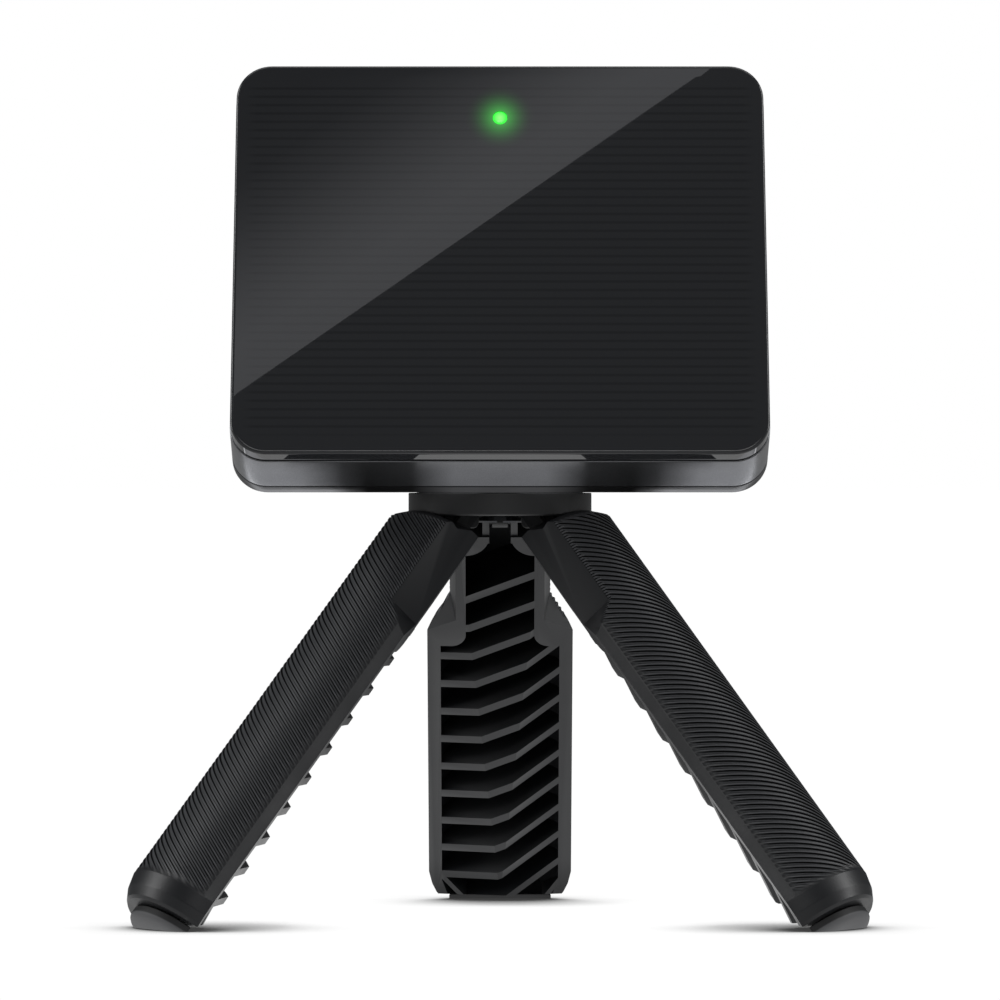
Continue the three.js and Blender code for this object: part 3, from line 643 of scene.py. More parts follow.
def face_outline(inset=0.0, radius=None, segments=14):
    """The face's outline in x and z, drawn in by an inset."""
    radius = max(CASE_CORNER - inset, 1) if radius is None else radius
    bottom = CASE_WIDTH_BOTTOM / 2 - inset - radius
    top = CASE_WIDTH_TOP / 2 - inset - radius
    low = inset + radius
    high = CASE_HEIGHT - inset - radius
    corners = ((bottom, low, -90), (top, high, 0), (-top, high, 90), (-bottom, low, 180))
    outline = []
    for cx, cz, start in corners:
        for step in range(segments + 1):
            angle = math.radians(start + 90 * step / segments)
            outline.append((cx + radius * math.cos(angle), cz + radius * math.sin(angle)))
    return outline


def face_loft(name, profile, closed_loop=False, radius_of=None):
    """A skin through face outlines: the profile is a list of (depth, inset) points."""
    rings = []
    for depth, inset in profile:
        outline = face_outline(inset, radius_of(inset) if radius_of else None)
        rings.append([(x, depth, z) for x, z in outline])
    return rings_to_object(name, rings, closed_loop=closed_loop)


def point_back(made, x=0, z=0):
    """Lays an upright turned solid along y, so that its heights become depths behind the face."""
    made.data.transform(in_metres(Matrix.Translation((x, 0, z)) @ Matrix.Rotation(-math.pi / 2, 4, "X")))
    return made


def rounded_rectangle(cx, cy, width, height, radius, segments=8):
    """A rectangle about a middle point, with round corners that never quite meet."""
    corners = rectangle(cx - width / 2, cx + width / 2, cy - height / 2, cy + height / 2)
    return fillet(corners, min(radius, 0.49 * min(width, height)), segments, closed=True)


def front_cover():
    """One-piece glossy cover: a flat window with a rounded rim that runs into the side walls."""
    rim = 0.55
    side = 0.15
    wall = 1.75
    profile = [(0, side + rim)]
    for step in range(1, 7):
        angle = math.radians(15 * step)
        profile.append((rim * (1 - math.cos(angle)), side + rim * (1 - math.sin(angle))))
    profile += [(FRONT_DEPTH - 0.12, side), (FRONT_DEPTH, side + 0.12), (FRONT_DEPTH, wall), (1.5, wall)]
    cover = face_loft("face_cover", profile)
    hole = turned("hole", [(LENS_RADIUS + 0.03, -1), (LENS_RADIUS + 0.03, 4)], 48)
    cut(cover, point_back(hole, 0, LIGHT_HEIGHT))
    return soften(cover, 0, angle=40)


def lamp_lens():
    """A slightly domed lens, just below the window's surface, on a short light pipe."""
    rim = LENS_RADIUS
    length = 3.4
    dome = [(0.02, 0.04), (0.45, 0.05), (0.85, 0.1), (rim - 0.08, 0.2), (rim, 0.34)]
    lens = turned("status_lens", dome + [(rim, length), (0.02, length)], 48)
    return soften(point_back(lens, 0, LIGHT_HEIGHT), 0, angle=50)


def band(name, front, back, inset, wall, edge):
    """A hollow ring round the case with rounded outer edges."""
    inner = inset + wall
    profile = fillet([(front, inner), (front, inset), (back, inset), (back, inner)], edge, 3)
    return face_loft(name, profile, closed_loop=True)


BUTTON = {"x": 24, "y": 7.9, "width": 12, "depth": 4.6}
CAP = {"y": 9.7, "low": 13.5, "high": 26.5, "depth": 6.8, "thickness": 1.1}
CAP_MIDDLE = (CAP["low"] + CAP["high"]) / 2
CAP_OUTSIDE = (CASE_WIDTH_BOTTOM + (CASE_WIDTH_TOP - CASE_WIDTH_BOTTOM) * CAP_MIDDLE / CASE_HEIGHT) / 2
SEAT_GAP = 0.5  # by which the seats of the button and the cap are wider and longer than they are


def mid_frame():
    """The satin band, with the openings for the power key and the charging socket."""
    shell = band("satin_band", MID_FRONT, MID_BACK, 0, WALL, 0.22)
    key_hole = rounded_rectangle(
        BUTTON["x"], BUTTON["y"], BUTTON["width"] + SEAT_GAP, BUTTON["depth"] + SEAT_GAP, 2.6, 12)
    cut(shell, prism("hole", key_hole, CASE_HEIGHT - 3, CASE_HEIGHT + 1, "Z"))
    height = CAP["high"] - CAP["low"] + SEAT_GAP
    seat = rounded_rectangle(CAP["y"], CAP_MIDDLE, CAP["depth"] + SEAT_GAP, height, 1.6)
    cut(shell, prism("seat", seat, CAP_OUTSIDE - CAP["thickness"] - 0.3, CAP_OUTSIDE + 1, "X"))
    mouth = rounded_rectangle(CAP["y"], CAP_MIDDLE, 3.2, 8.6, 1.5)
    cut(shell, prism("mouth", mouth, CAP_OUTSIDE - 3, CAP_OUTSIDE, "X"))
    return soften(shell, 0, angle=30)


def rear_radius(inset):
    """The back's corners stay rounder than the side wall as it slopes inwards."""
    return max(CASE_CORNER - inset, 0) + min(inset * 0.55, 7)


def screw_places():
    """The x and z of the four screws, in from the corners of the back."""
    side = 6.2
    for sign in (-1, 1):
        yield sign * (CASE_WIDTH_BOTTOM / 2 - side), side
        yield sign * (CASE_WIDTH_TOP / 2 - side), CASE_HEIGHT - side


def round_foot():
    """The round boss that the device stands on, cut off along the slope of the back."""
    radius = 14.2
    reach = 16
    low, knee, top = BACK_EDGE_Z - 1, BACK_EDGE_Z + 5, BACK_EDGE_Z + 20
    profile = fillet([(radius - 0.8, 0), (radius, 0), (radius, 20)], 0.5, 3)
    boss = turned("boss", [(r, BACK_EDGE_Z + z) for r, z in profile], 120)
    slope = [(reach, low), (reach, knee), (radius, knee), (radius / 2, top), (-reach, top), (-reach, low)]
    keep_inside(boss, prism("slant", slope, -reach, reach, "X"))
    boss.data.transform(in_metres(INTO_CASE))
    return keep_inside(boss, box((-40, 40), (CASE_DEPTH - 2, 60), (0.02, 60)))


def rear_cover():
    """The back: a side strip, a sloped and raised middle, the round foot and the screw seats."""
    points = [
        (REAR_FRONT + 0.8, WALL),
        (REAR_FRONT, WALL),
        (REAR_FRONT, 0),
        (CASE_DEPTH - 0.05, 0),
        (CASE_DEPTH + 0.55, 1.0),
        (BACK_DEPTH, 13.2),
        (BACK_DEPTH, 16),
    ]
    profile = fillet(points, [0, 0.05, 0.18, 0.25, 0.6, 2.2, 0], 5)
    shell = face_loft("back_shell", profile, radius_of=rear_radius)
    join(shell, round_foot())
    insert_radius = 4.9
    pocket = turned("pocket", [(insert_radius, BACK_EDGE_Z - 1), (insert_radius, BACK_EDGE_Z + 8.6)], 48)
    pocket.data.transform(in_metres(INTO_CASE))
    cut(shell, pocket)
    seat_profile = [(2.3, CASE_DEPTH - 1.3), (2.3, CASE_DEPTH - 0.1), (2.6, CASE_DEPTH + 0.2), (2.6, 25)]
    for x, z in screw_places():
        cut(shell, point_back(turned("seat", seat_profile, 40), x, z))
    return soften(shell, 0, angle=32)


def case_screw(number, x, z):
    """A pan-head screw with a cross recess."""
    front = CASE_DEPTH - 1.2
    shank = 0.95
    slot_length, slot_width = 1.25, 0.28
    points = [(shank, front - 9), (shank, front), (2, front), (2, front + 1.1), (0.05, front + 1.25)]
    screw = point_back(turned(f"back_screw_{number}", fillet(points, 0.35, 4), 40))
    for width, height in ((slot_length, slot_width), (slot_width, slot_length)):
        cut(screw, box((-width, width), (front + 0.55, front + 3), (-height, height)))
    screw.data.transform(in_metres(Matrix.Translation((x, 0, z))))
    return soften(screw, 0, angle=35)


def pill(name, outline_at, steps):
    """A key or cap drawn from outlines that shrink towards its rounded top: steps are (height, inset)."""
    return rings_to_object(name, [outline_at(height, inset) for height, inset in steps])


def power_key():
    """The power button: a long key with a rounded top edge, just proud of the case."""
    top = CASE_HEIGHT + 0.12
    low = CASE_HEIGHT - 2.8

    def outline(height, inset):
        width = BUTTON["width"] - 2 * inset
        depth = BUTTON["depth"] - 2 * inset
        flat = rounded_rectangle(BUTTON["x"], BUTTON["y"], width, depth, 2.3 - inset, 12)
        return [(x, y, height) for x, y in flat]

    steps = [(low, 0), (top - 0.4, 0), (top - 0.2, 0.06), (top - 0.07, 0.2), (top, 0.45), (top - 0.05, 1.0)]
    return soften(pill("power_key", outline, steps), 0, angle=40)


def socket_cap():
    """Rubber weather cap, flush with the side, with a nail notch and a plug."""
    height = CAP["high"] - CAP["low"]

    def outline(x, inset):
        flat = rounded_rectangle(CAP["y"], CAP_MIDDLE, CAP["depth"] - 2 * inset, height - 2 * inset, 1.4)
        return [(x, y, z) for y, z in flat]

    inside = CAP_OUTSIDE - CAP["thickness"]
    steps = [(inside, 0.1), (CAP_OUTSIDE - 0.3, 0), (CAP_OUTSIDE - 0.1, 0.08), (CAP_OUTSIDE, 0.3)]
    cap = pill("socket_cap", outline, steps)
    plug_depth, plug_height = 0.75, 2.8
    join(cap, box(
        (inside - 0.9, inside + 0.2),
        (CAP["y"] - plug_depth, CAP["y"] + plug_depth),
        (CAP_MIDDLE - plug_height, CAP_MIDDLE + plug_height)))
    nail = rectangle(CAP["y"] - 2, CAP["y"] + 2, CAP["high"] - 1.1, CAP["high"] + 1)
    notch = fillet(nail, 0.6, 4, closed=True)
    cut(cap, prism("notch", notch, CAP_OUTSIDE - 0.45, CAP_OUTSIDE + 1, "X"))
    return soften(cap, 0.08, 2)


def build_case():
    show(front_cover(), CASE_PLACE, "device", "front_gloss", "front_cover")
    show(lamp_lens(), CASE_PLACE, "device", "status_green", "led_light_pipe")
    gasket = soften(band("seam_gasket", FRONT_DEPTH + 0.02, MID_FRONT - 0.02, 0.8, 1.1, 0), 0)
    show(gasket, CASE_PLACE, "device", "rubber_black", "front_gasket")
    show(mid_frame(), CASE_PLACE, "device", "case_satin", "mid_frame")
    show(rear_cover(), CASE_PLACE, "device", "case_matt", "rear_cover")
    show(power_key(), CASE_PLACE, "power_button", "case_matt", "power_button")
    show(socket_cap(), CASE_PLACE, "usb_cap", "rubber_black", "usb_cap")
    for i, (x, z) in enumerate(screw_places()):
        show(case_screw(i + 1, x, z), CASE_PLACE, "device", "steel", f"case_screw_{i + 1}")


# ---------------------------------------------------------------- tripod hub

HUB_BOTTOM = PIVOT_HEIGHT - 1.7
HUB_TOP = HUB_BOTTOM + 3
HUB_RADIUS = 15.25
EAR_INNER = 1.8
EAR_OUTER = 2.95
EAR_RADIUS = 1.35
STUD_RADIUS = 3.1
PIN_RADIUS = 0.7


def hub_body():
    """The round hub, with a lug, two ear slots and a pin channel for each leg."""
    hole = STUD_RADIUS + 0.3
    collar = HUB_RADIUS - 0.9
    collar_top = BACK_EDGE_Z - 0.03
    points = [
        (hole, HUB_BOTTOM),
        (HUB_RADIUS, HUB_BOTTOM),
        (HUB_RADIUS, collar_top),
        (collar, collar_top),
        (collar, HUB_TOP),
        (hole, HUB_TOP),
    ]
    profile = fillet(points, [0.1, 0.4, 0.2, 0.1, 0.05, 0.1], 5, closed=True)
    hub = turned("hub_shell", profile, 144, closed_loop=True)
    inside = HUB_BOTTOM + 1  # what is joined on below reaches this far up into the hub
    # a thin web between the rear lug and each front one closes the gap that shows under the hub
    span = ((-4.2, 4.2), (STUD_RADIUS + 2, 10.9), (HUB_BOTTOM - 0.95, inside))
    for side in (-1, 1):
        join(hub, box(*span, Matrix.Rotation(side * math.pi / 3, 4, "Z")))
    inner, outer, low = PIVOT_RADIUS - 1.2, PIVOT_RADIUS + 1.6, HUB_BOTTOM - 2.1
    lug = fillet([(inner, inside), (inner, low), (outer, low), (outer, inside)], [0, 1, 1, 0], 8)
    lug_half = EAR_INNER - 0.45
    slot_depth = (PIVOT_RADIUS - EAR_RADIUS - 0.45, PIVOT_RADIUS + EAR_RADIUS + 2.45)
    channel = PIN_RADIUS + 0.2
    for number in range(3):
        turn = towards_leg(number)
        join(hub, prism("lug", lug, -lug_half, lug_half, "X", turn))
        for side in (-1, 1):
            width = sorted(((EAR_INNER - 0.25) * side, (EAR_OUTER + 0.3) * side))
            cut(hub, box(width, slot_depth, (HUB_BOTTOM - 1, HUB_TOP + 1), turn))
        across = (PIVOT_RADIUS - channel, PIVOT_RADIUS + channel)
        cut(hub, box((-4.5, 4.5), across, (PIVOT_HEIGHT - channel, HUB_TOP + 1), turn))
    return soften(hub, 0.15, 2, 50)


def top_pad():
    """The rubber washer that the device is screwed down on, inside the hub's collar."""
    radius = HUB_RADIUS - 1
    low = HUB_TOP + 0.04
    high = BACK_EDGE_Z - 0.02
    hole = STUD_RADIUS + 0.3
    profile = fillet([(hole, low), (radius, low), (radius, high), (hole, high)], 0.1, 3, closed=True)
    return soften(turned("grip_washer", profile, 120, closed_loop=True), 0, angle=40)


# ---------------------------------------------------------------- legs

def shift_out(made):
    """Moves a solid from the tripod's axis to the middle of the leg's round outside."""
    made.data.transform(Matrix.Translation((0, LEG_SHIFT * MM, 0)))
    return made


def leg_outside():
    """The leg's round outside, narrower at its end, with a shoulder round its top."""
    profile = [
        (11.75, -LEG_END),
        (12.2, -LEG_END + 0.45),
        (13.05, -LEG_END + 2),
        (LEG_RADIUS, -TAPER_START),
        (LEG_RADIUS, 0),
    ]
    body = shift_out(turned("leg_shell", fillet(profile, [0, 0.3, 1.2, 1.5, 0], 4), 180))
    reach = LEG_RADIUS + 6
    neck = (9.9, -LEG_TOP + 0.2)
    shoulder = [(reach, -LEG_END - 1), (reach, -10), (15.3, -9.4), (13.3, -7), (12, -7.3), neck]
    return keep_inside(body, turned("shoulder", fillet(shoulder, [0, 0.5, 0.6, 0.4, 0.3, 0], 4), 180))


def leg_sector():
    """The third of the round grip that one leg fills, less half the gap to its neighbours."""
    half_gap = 0.2
    tip = half_gap / math.cos(math.pi / 6)
    far = LEG_RADIUS + 6
    side = tip + far * SECTOR_SLOPE
    outline = [(0, tip), (far, side), (far, 2 * far), (-far, 2 * far), (-far, side)]
    return prism("sector", outline, -LEG_END - 1, 0, "Z")


def neck_cut(side):
    """What is cut away beside the narrow neck, down to the shoulder."""
    neck = 8
    edge = LEG_HALF_WIDTH + 0.2
    far = LEG_HALF_WIDTH + 8
    start, end = -24.2, -28.8
    outline = [(neck, 1), (neck, start), (edge, end), (far, end), (far, 1)]
    mirrored = [(side * x, z) for x, z in outline]
    parting = Matrix.Translation((0, 8.15, 0))  # the depth at which the draft starts
    draft = Matrix.Identity(4)
    draft[0][1] = NECK_DRAFT * side
    return prism("neck", mirrored, -1, LEG_RADIUS + 3, "Y", parting @ draft @ parting.inverted())


def hollow_outline():
    """The hollow seen from the tripod's axis: narrow between the ears, then two lobes, then wide."""
    neck = 5.8
    wide = 10.1
    shoulder = 26.6
    bend = 2.6
    lobe = neck - EAR_INNER
    half = [(EAR_INNER, -LEG_TOP + 1)]

    def quarter(steps, middle_x, middle_z, radius, slant):
        """A quarter of a circle, slanted like the ribs where slant is their slope."""
        for step in range(steps + 1):
            angle = math.radians(180 + 90 * step / steps)
            x = middle_x + radius * math.cos(angle)
            half.append((x, middle_z + radius * math.sin(angle) - slant * (x - neck)))

    quarter(14, neck, -LEG_TOP + 0.3, lobe, 0)
    quarter(12, neck + bend, -shoulder, bend, RIB_SLOPE)
    half.append((wide, -shoulder - bend - RIB_SLOPE * (wide - neck)))
    half.append((wide, -LEG_END + 1))
    return half + [(-x, z) for x, z in reversed(half)]


def hollow_depth():
    """The solid that holds the hollow back from the leg's outer wall."""
    deep = LEG_RADIUS - LEG_WALL
    end = 11.7 - LEG_WALL
    neck = 8
    profile = [(end, -LEG_END + 1), (deep, -TAPER_START + 1.5), (deep, -11), (neck, -7), (neck, -LEG_TOP + 1)]
    return shift_out(turned("depth", profile, 90))


def web(x, z, length, thickness, angle):
    """A slanted web across the hollow, by its middle, length, thickness and angle in degrees."""
    place = Matrix.Translation((x, 0, z)) @ Matrix.Rotation(math.radians(angle), 4, "Y")
    half = thickness / 2
    return box((-length / 2, length / 2), (-1, LEG_RADIUS + 3), (-half, half), place)


def rib(number):
    """One of the slanted ribs, longer than the hollow is wide."""
    below_pin = RIB_START + number * RIB_PITCH
    return web(0, -below_pin, 28, RIB_THICKNESS, -math.degrees(math.atan(RIB_SLOPE)))


def rib_limit():
    """What is cut away inside the ribs' slightly sloping inner edges."""
    edge = 4.6
    slope = 0.053
    outline = [(-5, 1), (-5, -LEG_END - 1), (edge - slope * LEG_END, -LEG_END - 1), (edge, 1)]
    return prism("limit", outline, -LEG_RADIUS, LEG_RADIUS, "X")


def grip_recess():
    """The shallow bed that the ridged skin lies in."""
    angles = [GRIP_ANGLE * (i / 24 - 1) for i in range(49)]
    bed = LEG_RADIUS - 0.75
    far = 18
    outline = [(bed * math.sin(a), bed * math.cos(a) + LEG_SHIFT) for a in angles]
    outline += [(far * math.sin(a), far * math.cos(a) + LEG_SHIFT) for a in reversed(angles)]
    return prism("recess", outline, -GRIP_END, 0, "Z")


def under_ground(height):
    """All that lies below a height above the floor, seen in the frame of an open leg."""
    return box((-40, 40), (0, 100), (-20, height), leg_place(0).inverted() @ HUB_PLACE)


def ear_outline():
    """A round hinge ear about the pin, seen from its side."""
    root = -LEG_TOP - 1.5
    points = [(PIVOT_RADIUS + EAR_RADIUS, root)]
    for step in range(25):
        angle = math.pi * step / 24
        points.append((PIVOT_RADIUS + EAR_RADIUS * math.cos(angle), EAR_RADIUS * math.sin(angle)))
    return points + [(PIVOT_RADIUS - EAR_RADIUS, root)]


def leg_body():
    """A ribbed leg with its hinge ears, drawn folded."""
    hollow = keep_inside(prism("hollow", hollow_outline(), -1, LEG_RADIUS + 3, "Y"), hollow_depth())
    for number in range(RIB_COUNT):
        cut(hollow, rib(number))
    lower_left = web(-8.6, -85.2, 8, 1.1, 40)
    lower_right = web(8.9, -86.6, 6, 1.1, -48)
    cut(hollow, lower_left, lower_right)
    body = keep_inside(leg_outside(), leg_sector())
    cut(body, neck_cut(1), neck_cut(-1), hollow, rib_limit())
    foot_socket = box((-3.3, 3.3), (7.2, 9.8), (-LEG_END - 1, -LEG_END + 1.1))
    cut(body, foot_socket, under_ground(0.9))
    for side in (-1, 1):
        near, far = sorted((EAR_INNER * side, EAR_OUTER * side))
        join(body, prism("ear", ear_outline(), near, far, "X"))
    pin = 0.92
    angles = [2 * math.pi * i / 32 for i in range(32)]
    hole = [(PIVOT_RADIUS + pin * math.cos(a), pin * math.sin(a)) for a in angles]
    cut(body, prism("pin", hole, -LEG_RADIUS, LEG_RADIUS, "X"))
    cut(body, grip_recess())
    return soften(body, 0.16, 2, 30, clamped=True)


def smooth_step(value):
    value = min(max(value, 0), 1)
    return value * value * (3 - 2 * value)


def ridge_drop(phase):
    """How far the skin lies below its crests: a flat crest, a flank, a flat valley and a flank."""
    away = abs((phase % 1) - 0.5) * 2
    return smooth_step((away - 0.28) / 0.4)


def grip_skin():
    """Fine slanting ridges over the leg's outside; their valleys run out before the smooth margins."""
    samples = 8  # along each ridge's pitch
    columns = 60
    side_fade = 1.8
    end_fade = 1.6
    sunk = 0.03  # crests lie this far below the leg's round outside
    rows = math.ceil((GRIP_END - GRIP_TOP + 2 * GRIP_RISE) / RIDGE_PITCH * samples)
    bed = LEG_RADIUS - 0.85
    outer = []
    inner = []
    for row in range(rows + 1):
        along = row / samples
        drop = RIDGE_DEPTH * ridge_drop(along)
        outer.append([])
        inner.append([])
        for column in range(columns + 1):
            angle = GRIP_EDGE * (2 * column / columns - 1)
            down = GRIP_TOP - GRIP_RISE + along * RIDGE_PITCH - RIDGE_SLOPE * LEG_RADIUS * angle
            down = min(max(down, GRIP_TOP), GRIP_END + 0.02)
            to_side = (GRIP_EDGE - abs(angle)) * LEG_RADIUS
            fade = smooth_step(to_side / side_fade) * smooth_step((GRIP_END - down) / end_fade)
            radius = LEG_RADIUS - sunk - drop * fade
            side, out = math.sin(angle), math.cos(angle)
            outer[-1].append((radius * side, radius * out + LEG_SHIFT, -down))
            inner[-1].append((bed * side, bed * out + LEG_SHIFT, -down))
    rings = [upper + list(reversed(lower)) for upper, lower in zip(outer, inner)]
    skin = rings_to_object("grip", rings)
    clean(skin, 0.004)
    cut(skin, neck_cut(1), neck_cut(-1))
    middle, far = 0.1, 18
    below_shoulder = [(middle, -95), (far, -95), (far, -10), (15.3, -9.35), (13.3, -6.95), (middle, -6.95)]
    keep_inside(skin, turned("skin_top", fillet(below_shoulder, [0, 0, 0.5, 0.6, 0.4, 0], 4), 120))
    skin.data.polygons.foreach_set("use_smooth", [True] * len(skin.data.polygons))
    skin.data.set_sharp_from_angle(angle=math.radians(60))
    return skin


def foot_outline(radius, flat):
    """A round pad with one flat side, in x across the leg and y out from the axis."""
    reach = math.acos(flat / radius)
    angles = [reach * (i / 20 - 1) for i in range(41)]
    points = [(radius * math.sin(a), radius * math.cos(a)) for a in angles]
    corner = 0.9
    return fillet(points, [corner] + [0] * (len(points) - 2) + [corner], 5, closed=True)


def rubber_foot():
    """The foot pad: an upright band and a slightly crowned sole, level where it meets the ground."""
    radius = 10.2
    flat = 6.4 - LEG_SHIFT
    top = -LEG_END - 0.15
    drops = [(0, 0.25), (0.2, 0), (1.15, 0), (1.5, 0.12), (1.8, 0.42), (2.0, 0.9), (2.12, 1.7), (2.2, 2.6)]
    rings = []
    for drop, inset in drops:
        outline = foot_outline(radius - inset, flat + inset * 0.35)
        rings.append([(x, y + LEG_SHIFT, top - drop) for x, y in outline])
    foot = rings_to_object("foot_pad", rings)
    tongue = box((-3, 3), (7.5, 9.5), (top - 0.5, -LEG_END + 1.2))
    join(foot, tongue)
    cut(foot, under_ground(0))
    return soften(foot, 0, angle=38)


def build_tripod():
    show(hub_body(), HUB_PLACE, "hub", "case_matt", "hub_body")
    show(top_pad(), HUB_PLACE, "hub", "rubber_black", "hub_top_pad")
    body = leg_body()
    skin = grip_skin()
    foot = rubber_foot()
    parts = (
        (body, "leg_shell", "leg_black", "leg_black", "leg_{}"),
        (skin, "leg_grip", "leg_grip", "leg_black", None),
        (foot, "foot_pad", "foot_rubber", "rubber_black", "foot_{}"),
    )
    for number, side in enumerate(LEG_NAMES):
        for source, name, finish, slot, node in parts:
            piece = new_object(f"{name}_{side}", source.data)
            nodes = [node.format(side)] if node else []
            show(piece, leg_place(number), f"leg_{side}", finish, *nodes, slot=slot)
    for source in (body, skin, foot):
        bpy.data.objects.remove(source)


# ---------------------------------------------------------------- CAD nodes that stay

def finish_kept_nodes():
    """The inner parts and the pins keep their CAD shape and get their slot's finish."""
    for made in frame["nodes"].values():
        for slot in made.material_slots:
            name = slot.material.name.split(".")[0]
            if name in MATERIALS:
                slot.material = MATERIALS[name]


# ---------------------------------------------------------------- studio

FLOOR_BOUNCE = 1.0
ROOM_LIGHT = 0.06
CARD_LIGHT = 1.0
BAND_LIGHT = 0.8
CARD_TINT = (0.98, 0.99, 1.03)


class Light(Nodes):
    """A material that only gives light."""

    def __init__(self, name):
        self.material = bpy.data.materials.new(name)
        self.material.use_nodes = True
        super().__init__(self.material.node_tree)
        self.tree.nodes.clear()
        self.output = self.node("ShaderNodeOutputMaterial").inputs["Surface"]


def source_of_light(nodes, kind, strength, color=(1, 1, 1, 1)):
    """An emission or background shader, with a strength and a colour."""
    made = nodes.node(kind)
    nodes.put(strength, made.inputs["Strength"])
    nodes.put(color, made.inputs["Color"])
    return made.outputs[0]


def split_by_ray(nodes, seen, others, output):
    """Shows one shader to the camera and gives another one to every other ray."""
    mix = nodes.node("ShaderNodeMixShader")
    nodes.link(nodes.node("ShaderNodeLightPath").outputs["Is Camera Ray"], mix.inputs[0])
    nodes.link(others, mix.inputs[1])
    nodes.link(seen, mix.inputs[2])
    nodes.link(mix.outputs[0], output)


def even_light(name, strength):
    """A light with the same strength all over."""
    light = Light(name)
    light.link(source_of_light(light, "ShaderNodeEmission", strength), light.output)
    return light.material


def graded_light(name, axis, stops):
    """A light whose strength follows one of its object's own axes, through (metres, strength) stops."""
    light = Light(name)
    low, high = stops[0][0], stops[-1][0]
    top = max(strength for _, strength in stops)
    ramp = light.node("ShaderNodeValToRGB")
    points = ramp.color_ramp.elements
    while len(points) < len(stops):
        points.new(0.5)
    for point, (where, _) in zip(points, stops):
        point.position = (where - low) / (high - low)
    for point, (_, strength) in zip(points, stops):
        point.color = (*(tint * strength / top for tint in CARD_TINT), 1)
    light.link(light.ranged(light.axes()[axis], low, high, 0, 1), ramp.inputs["Fac"])
    light.link(source_of_light(light, "ShaderNodeEmission", top, ramp.outputs["Color"]), light.output)
    return light.material


def build_camera():
    """A long lens, level, on the tripod's axis; the picture is field millimetres wide at the axis."""
    distance = 1350
    field = 166.7
    eye_height = 74.6
    data = bpy.data.cameras.new("camera")
    data.sensor_width = 36
    data.lens = data.sensor_width * distance / field
    data.shift_y = -0.029
    data.clip_end = 50
    camera = new_object("camera", data)
    camera.location = Vector((0, AXIS.y - distance, eye_height)) * MM
    camera.rotation_euler = (math.pi / 2, 0, 0)
    bpy.context.scene.camera = camera
    return camera


def area_light(name, location, target, size, power):
    data = bpy.data.lights.new(name, "AREA")
    data.shape = "RECTANGLE"
    data.size, data.size_y = size
    data.energy = power
    light = new_object(name, data)
    light.location = location
    direction = Vector(target) - Vector(location)
    light.rotation_euler = direction.to_track_quat("-Z", "Y").to_euler()


def level_card(name, corners, height):
    """A level four-sided sheet."""
    return from_faces(name, [(x, y, height) for x, y in corners], [(0, 1, 2, 3)])


def build_floor():
    """A plain white floor with a close contact shade, that lights the object softly from below."""
    size = 30000
    floor = level_card("floor", rectangle(-size, size, -size, size), 0)
    light = Light("floor")
    shade_reach = 24
    shade = light.ranged(light.openness(shade_reach, 16), 0.3, 0.93, 0.05, 1.02)
    from_axis = light.distance_from(0, AXIS.y, 0)
    bounce = light.ranged(from_axis, 40 * MM, 120 * MM, FLOOR_BOUNCE, 0.3 * FLOOR_BOUNCE)
    seen = source_of_light(light, "ShaderNodeEmission", shade)
    others = source_of_light(light, "ShaderNodeEmission", bounce)
    split_by_ray(light, seen, others, light.output)
    light.material.cycles.emission_sampling = "NONE"
    floor.data.materials.append(light.material)


def build_world():
    """White behind the object, and a dim room for its reflections."""
    world = bpy.data.worlds.new("studio")
    bpy.context.scene.world = world
    world.use_nodes = True
    nodes = Nodes(world.node_tree)
    nodes.tree.nodes.clear()
    output = nodes.node("ShaderNodeOutputWorld").inputs[0]
    seen = source_of_light(nodes, "ShaderNodeBackground", 1)
    room = source_of_light(nodes, "ShaderNodeBackground", ROOM_LIGHT, (0.95, 0.97, 1, 1))
    split_by_ray(nodes, seen, room, output)


def reflected_only(card, material):
    """Gives a card its light, and makes it show in reflections and nowhere else."""
    card.data.materials.append(material)
    card.visible_camera = False
    card.visible_diffuse = False
    card.visible_shadow = False
    card.visible_transmission = False


def build_reflected_card(camera):
    """A light card in front of and above the face, seen in it down to a sharp slanting edge."""
    case = in_metres(CASE_PLACE)
    normal = case.to_3x3() @ Vector((0, -1, 0))
    on_face = case.translation
    eye = camera.location
    mirrored_eye = eye - 2 * (eye - on_face).dot(normal) * normal
    reach = 1.2
    middle = case @ Vector((0, 0, CASE_HEIGHT / 2 * MM))
    middle_ray = (middle - mirrored_eye).normalized()

    def seen_at(place):
        """The point on the card that the camera sees at a point of the face."""
        point = case @ Vector((place.x * MM, 0, place.y * MM))
        ray = (point - mirrored_eye).normalized()
        return point + ray * (reach / ray.dot(middle_ray))

    # the light's edge crosses the face from low on the left to high on the right
    low = Vector((-44.4, 9.8))
    high = Vector((35.5, CASE_HEIGHT - 0.1))
    along = (high - low).normalized()
    across = Vector((-along.y, along.x))
    width = 52
    spare = 20
    start = low - spare * along
    end = high + spare * along
    corners = [start, end, end + width * across, start + width * across]
    points = [seen_at(corner) for corner in corners]
    edge_along = (points[1] - points[0]).normalized()
    facing = edge_along.cross(points[3] - points[0]).normalized()
    edge_across = facing.cross(edge_along)
    place = Matrix((edge_along, edge_across, facing)).transposed().to_4x4()
    place.translation = points[0]
    to_card = place.inverted()
    mesh = bpy.data.meshes.new("card")
    mesh.from_pydata([to_card @ point for point in points], [], [(0, 1, 2, 3)])
    card = new_object("card", mesh)
    card.matrix_world = place
    deep = (to_card @ points[3]).y
    fade = [
        (0, 1.0), (6.7, 1.0), (11.7, 0.85), (16.7, 0.62), (23.4, 0.3), (30, 0.08), (37, 0.02), (width, 0.0)]
    stops = [(deep * where / width, CARD_LIGHT * level) for where, level in fade]
    reflected_only(card, graded_light("card", "Y", stops))


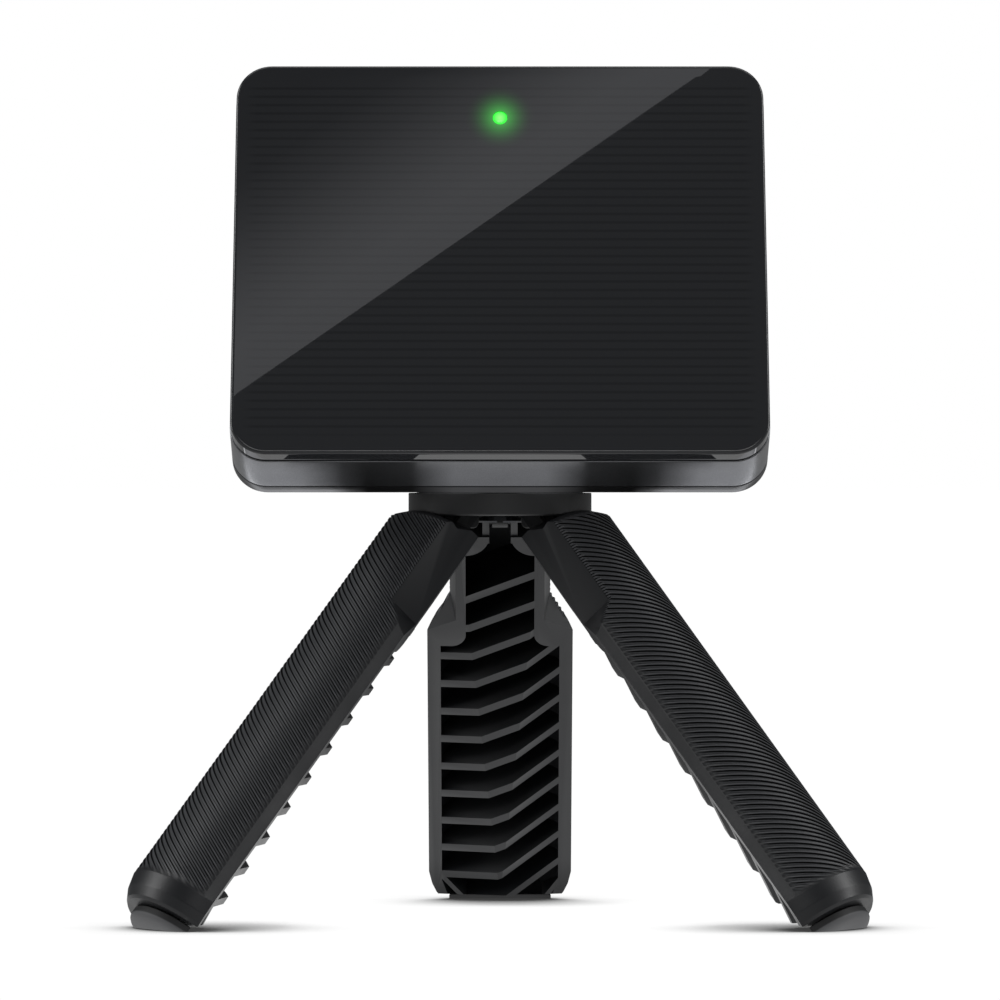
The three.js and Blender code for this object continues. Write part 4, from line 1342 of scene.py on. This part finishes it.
def mirrored_stops(half):
    """Stops over both sides of the middle, in metres, from those of one side in millimetres."""
    stops = [(x * MM, BAND_LIGHT * level) for x, level in half]
    return [(-x, strength) for x, strength in reversed(stops)] + stops


def build_band_cards():
    """Patterned cards just under the case that give its lower edge three light stretches."""
    height = PAD_TOP + 0.3
    front, joint, back = AXIS.y - 19.5, AXIS.y - 14.75, AXIS.y - 6.4
    strip_front, strip_back = AXIS.y - 7.5, AXIS.y - 6.3
    wide = 60
    middle = [(7.5, 0.6), (10.5, 0.36), (14.5, 0.04), (22, 0.0)]
    sides = [(26, 0.08), (29.5, 0.42), (33, 0.85), (36, 0.98), (45, 1.05), (50, 0.3), (wide, 0.1)]
    strip_sides = [(25, 0.7), (28, 2.6), (45, 2.9), (wide, 0.3)]
    soft = level_card("soft_card", rectangle(-wide, wide, joint, back), height)
    reflected_only(soft, graded_light("soft_card", "X", mirrored_stops(middle + sides)))
    dark = level_card("dark_card", rectangle(-wide, wide, front, joint), height - 0.02)
    reflected_only(dark, even_light("dark_card", 0.0))
    strip = level_card("strip_card", rectangle(-wide, wide, strip_front, strip_back), height + 0.01)
    reflected_only(strip, graded_light("strip_card", "X", mirrored_stops(middle + strip_sides)))
    slant = 1.6
    for number, (left, right) in enumerate([(-46, -34.2), (-12.7, 12.7), (34.2, 46)]):
        lean_left = slant if left < 0 else -slant
        lean_right = slant if right < 0 else -slant
        corners = [
            (left + lean_left, front),
            (right + lean_right, front),
            (right - lean_right, joint),
            (left - lean_left, joint),
        ]
        card = level_card(f"band_card_{number}", corners, height)
        reflected_only(card, even_light("band_card", BAND_LIGHT * 0.85))


def build_studio():
    """The camera, the floor, the backdrop, the cards, and four soft lights in metres and watts."""
    camera = build_camera()
    build_floor()
    build_world()
    build_reflected_card(camera)
    build_band_cards()
    target = (0, AXIS.y * MM, 0.05)
    area_light("key_top", (0, 0.1, 1.5), target, (1.6, 1.0), 7)
    for name, side in (("left", -1), ("right", 1)):
        area_light(name, (side * 1.45, 0.05, 0.7), target, (0.5, 1.2), 9)
    area_light("front", (0, -1.5, 0.8), target, (0.9, 0.4), 4)
    scene = bpy.context.scene
    scene.view_settings.view_transform = "Standard"
    scene.view_settings.look = "None"


build_case()
build_tripod()
finish_kept_nodes()
build_studio()
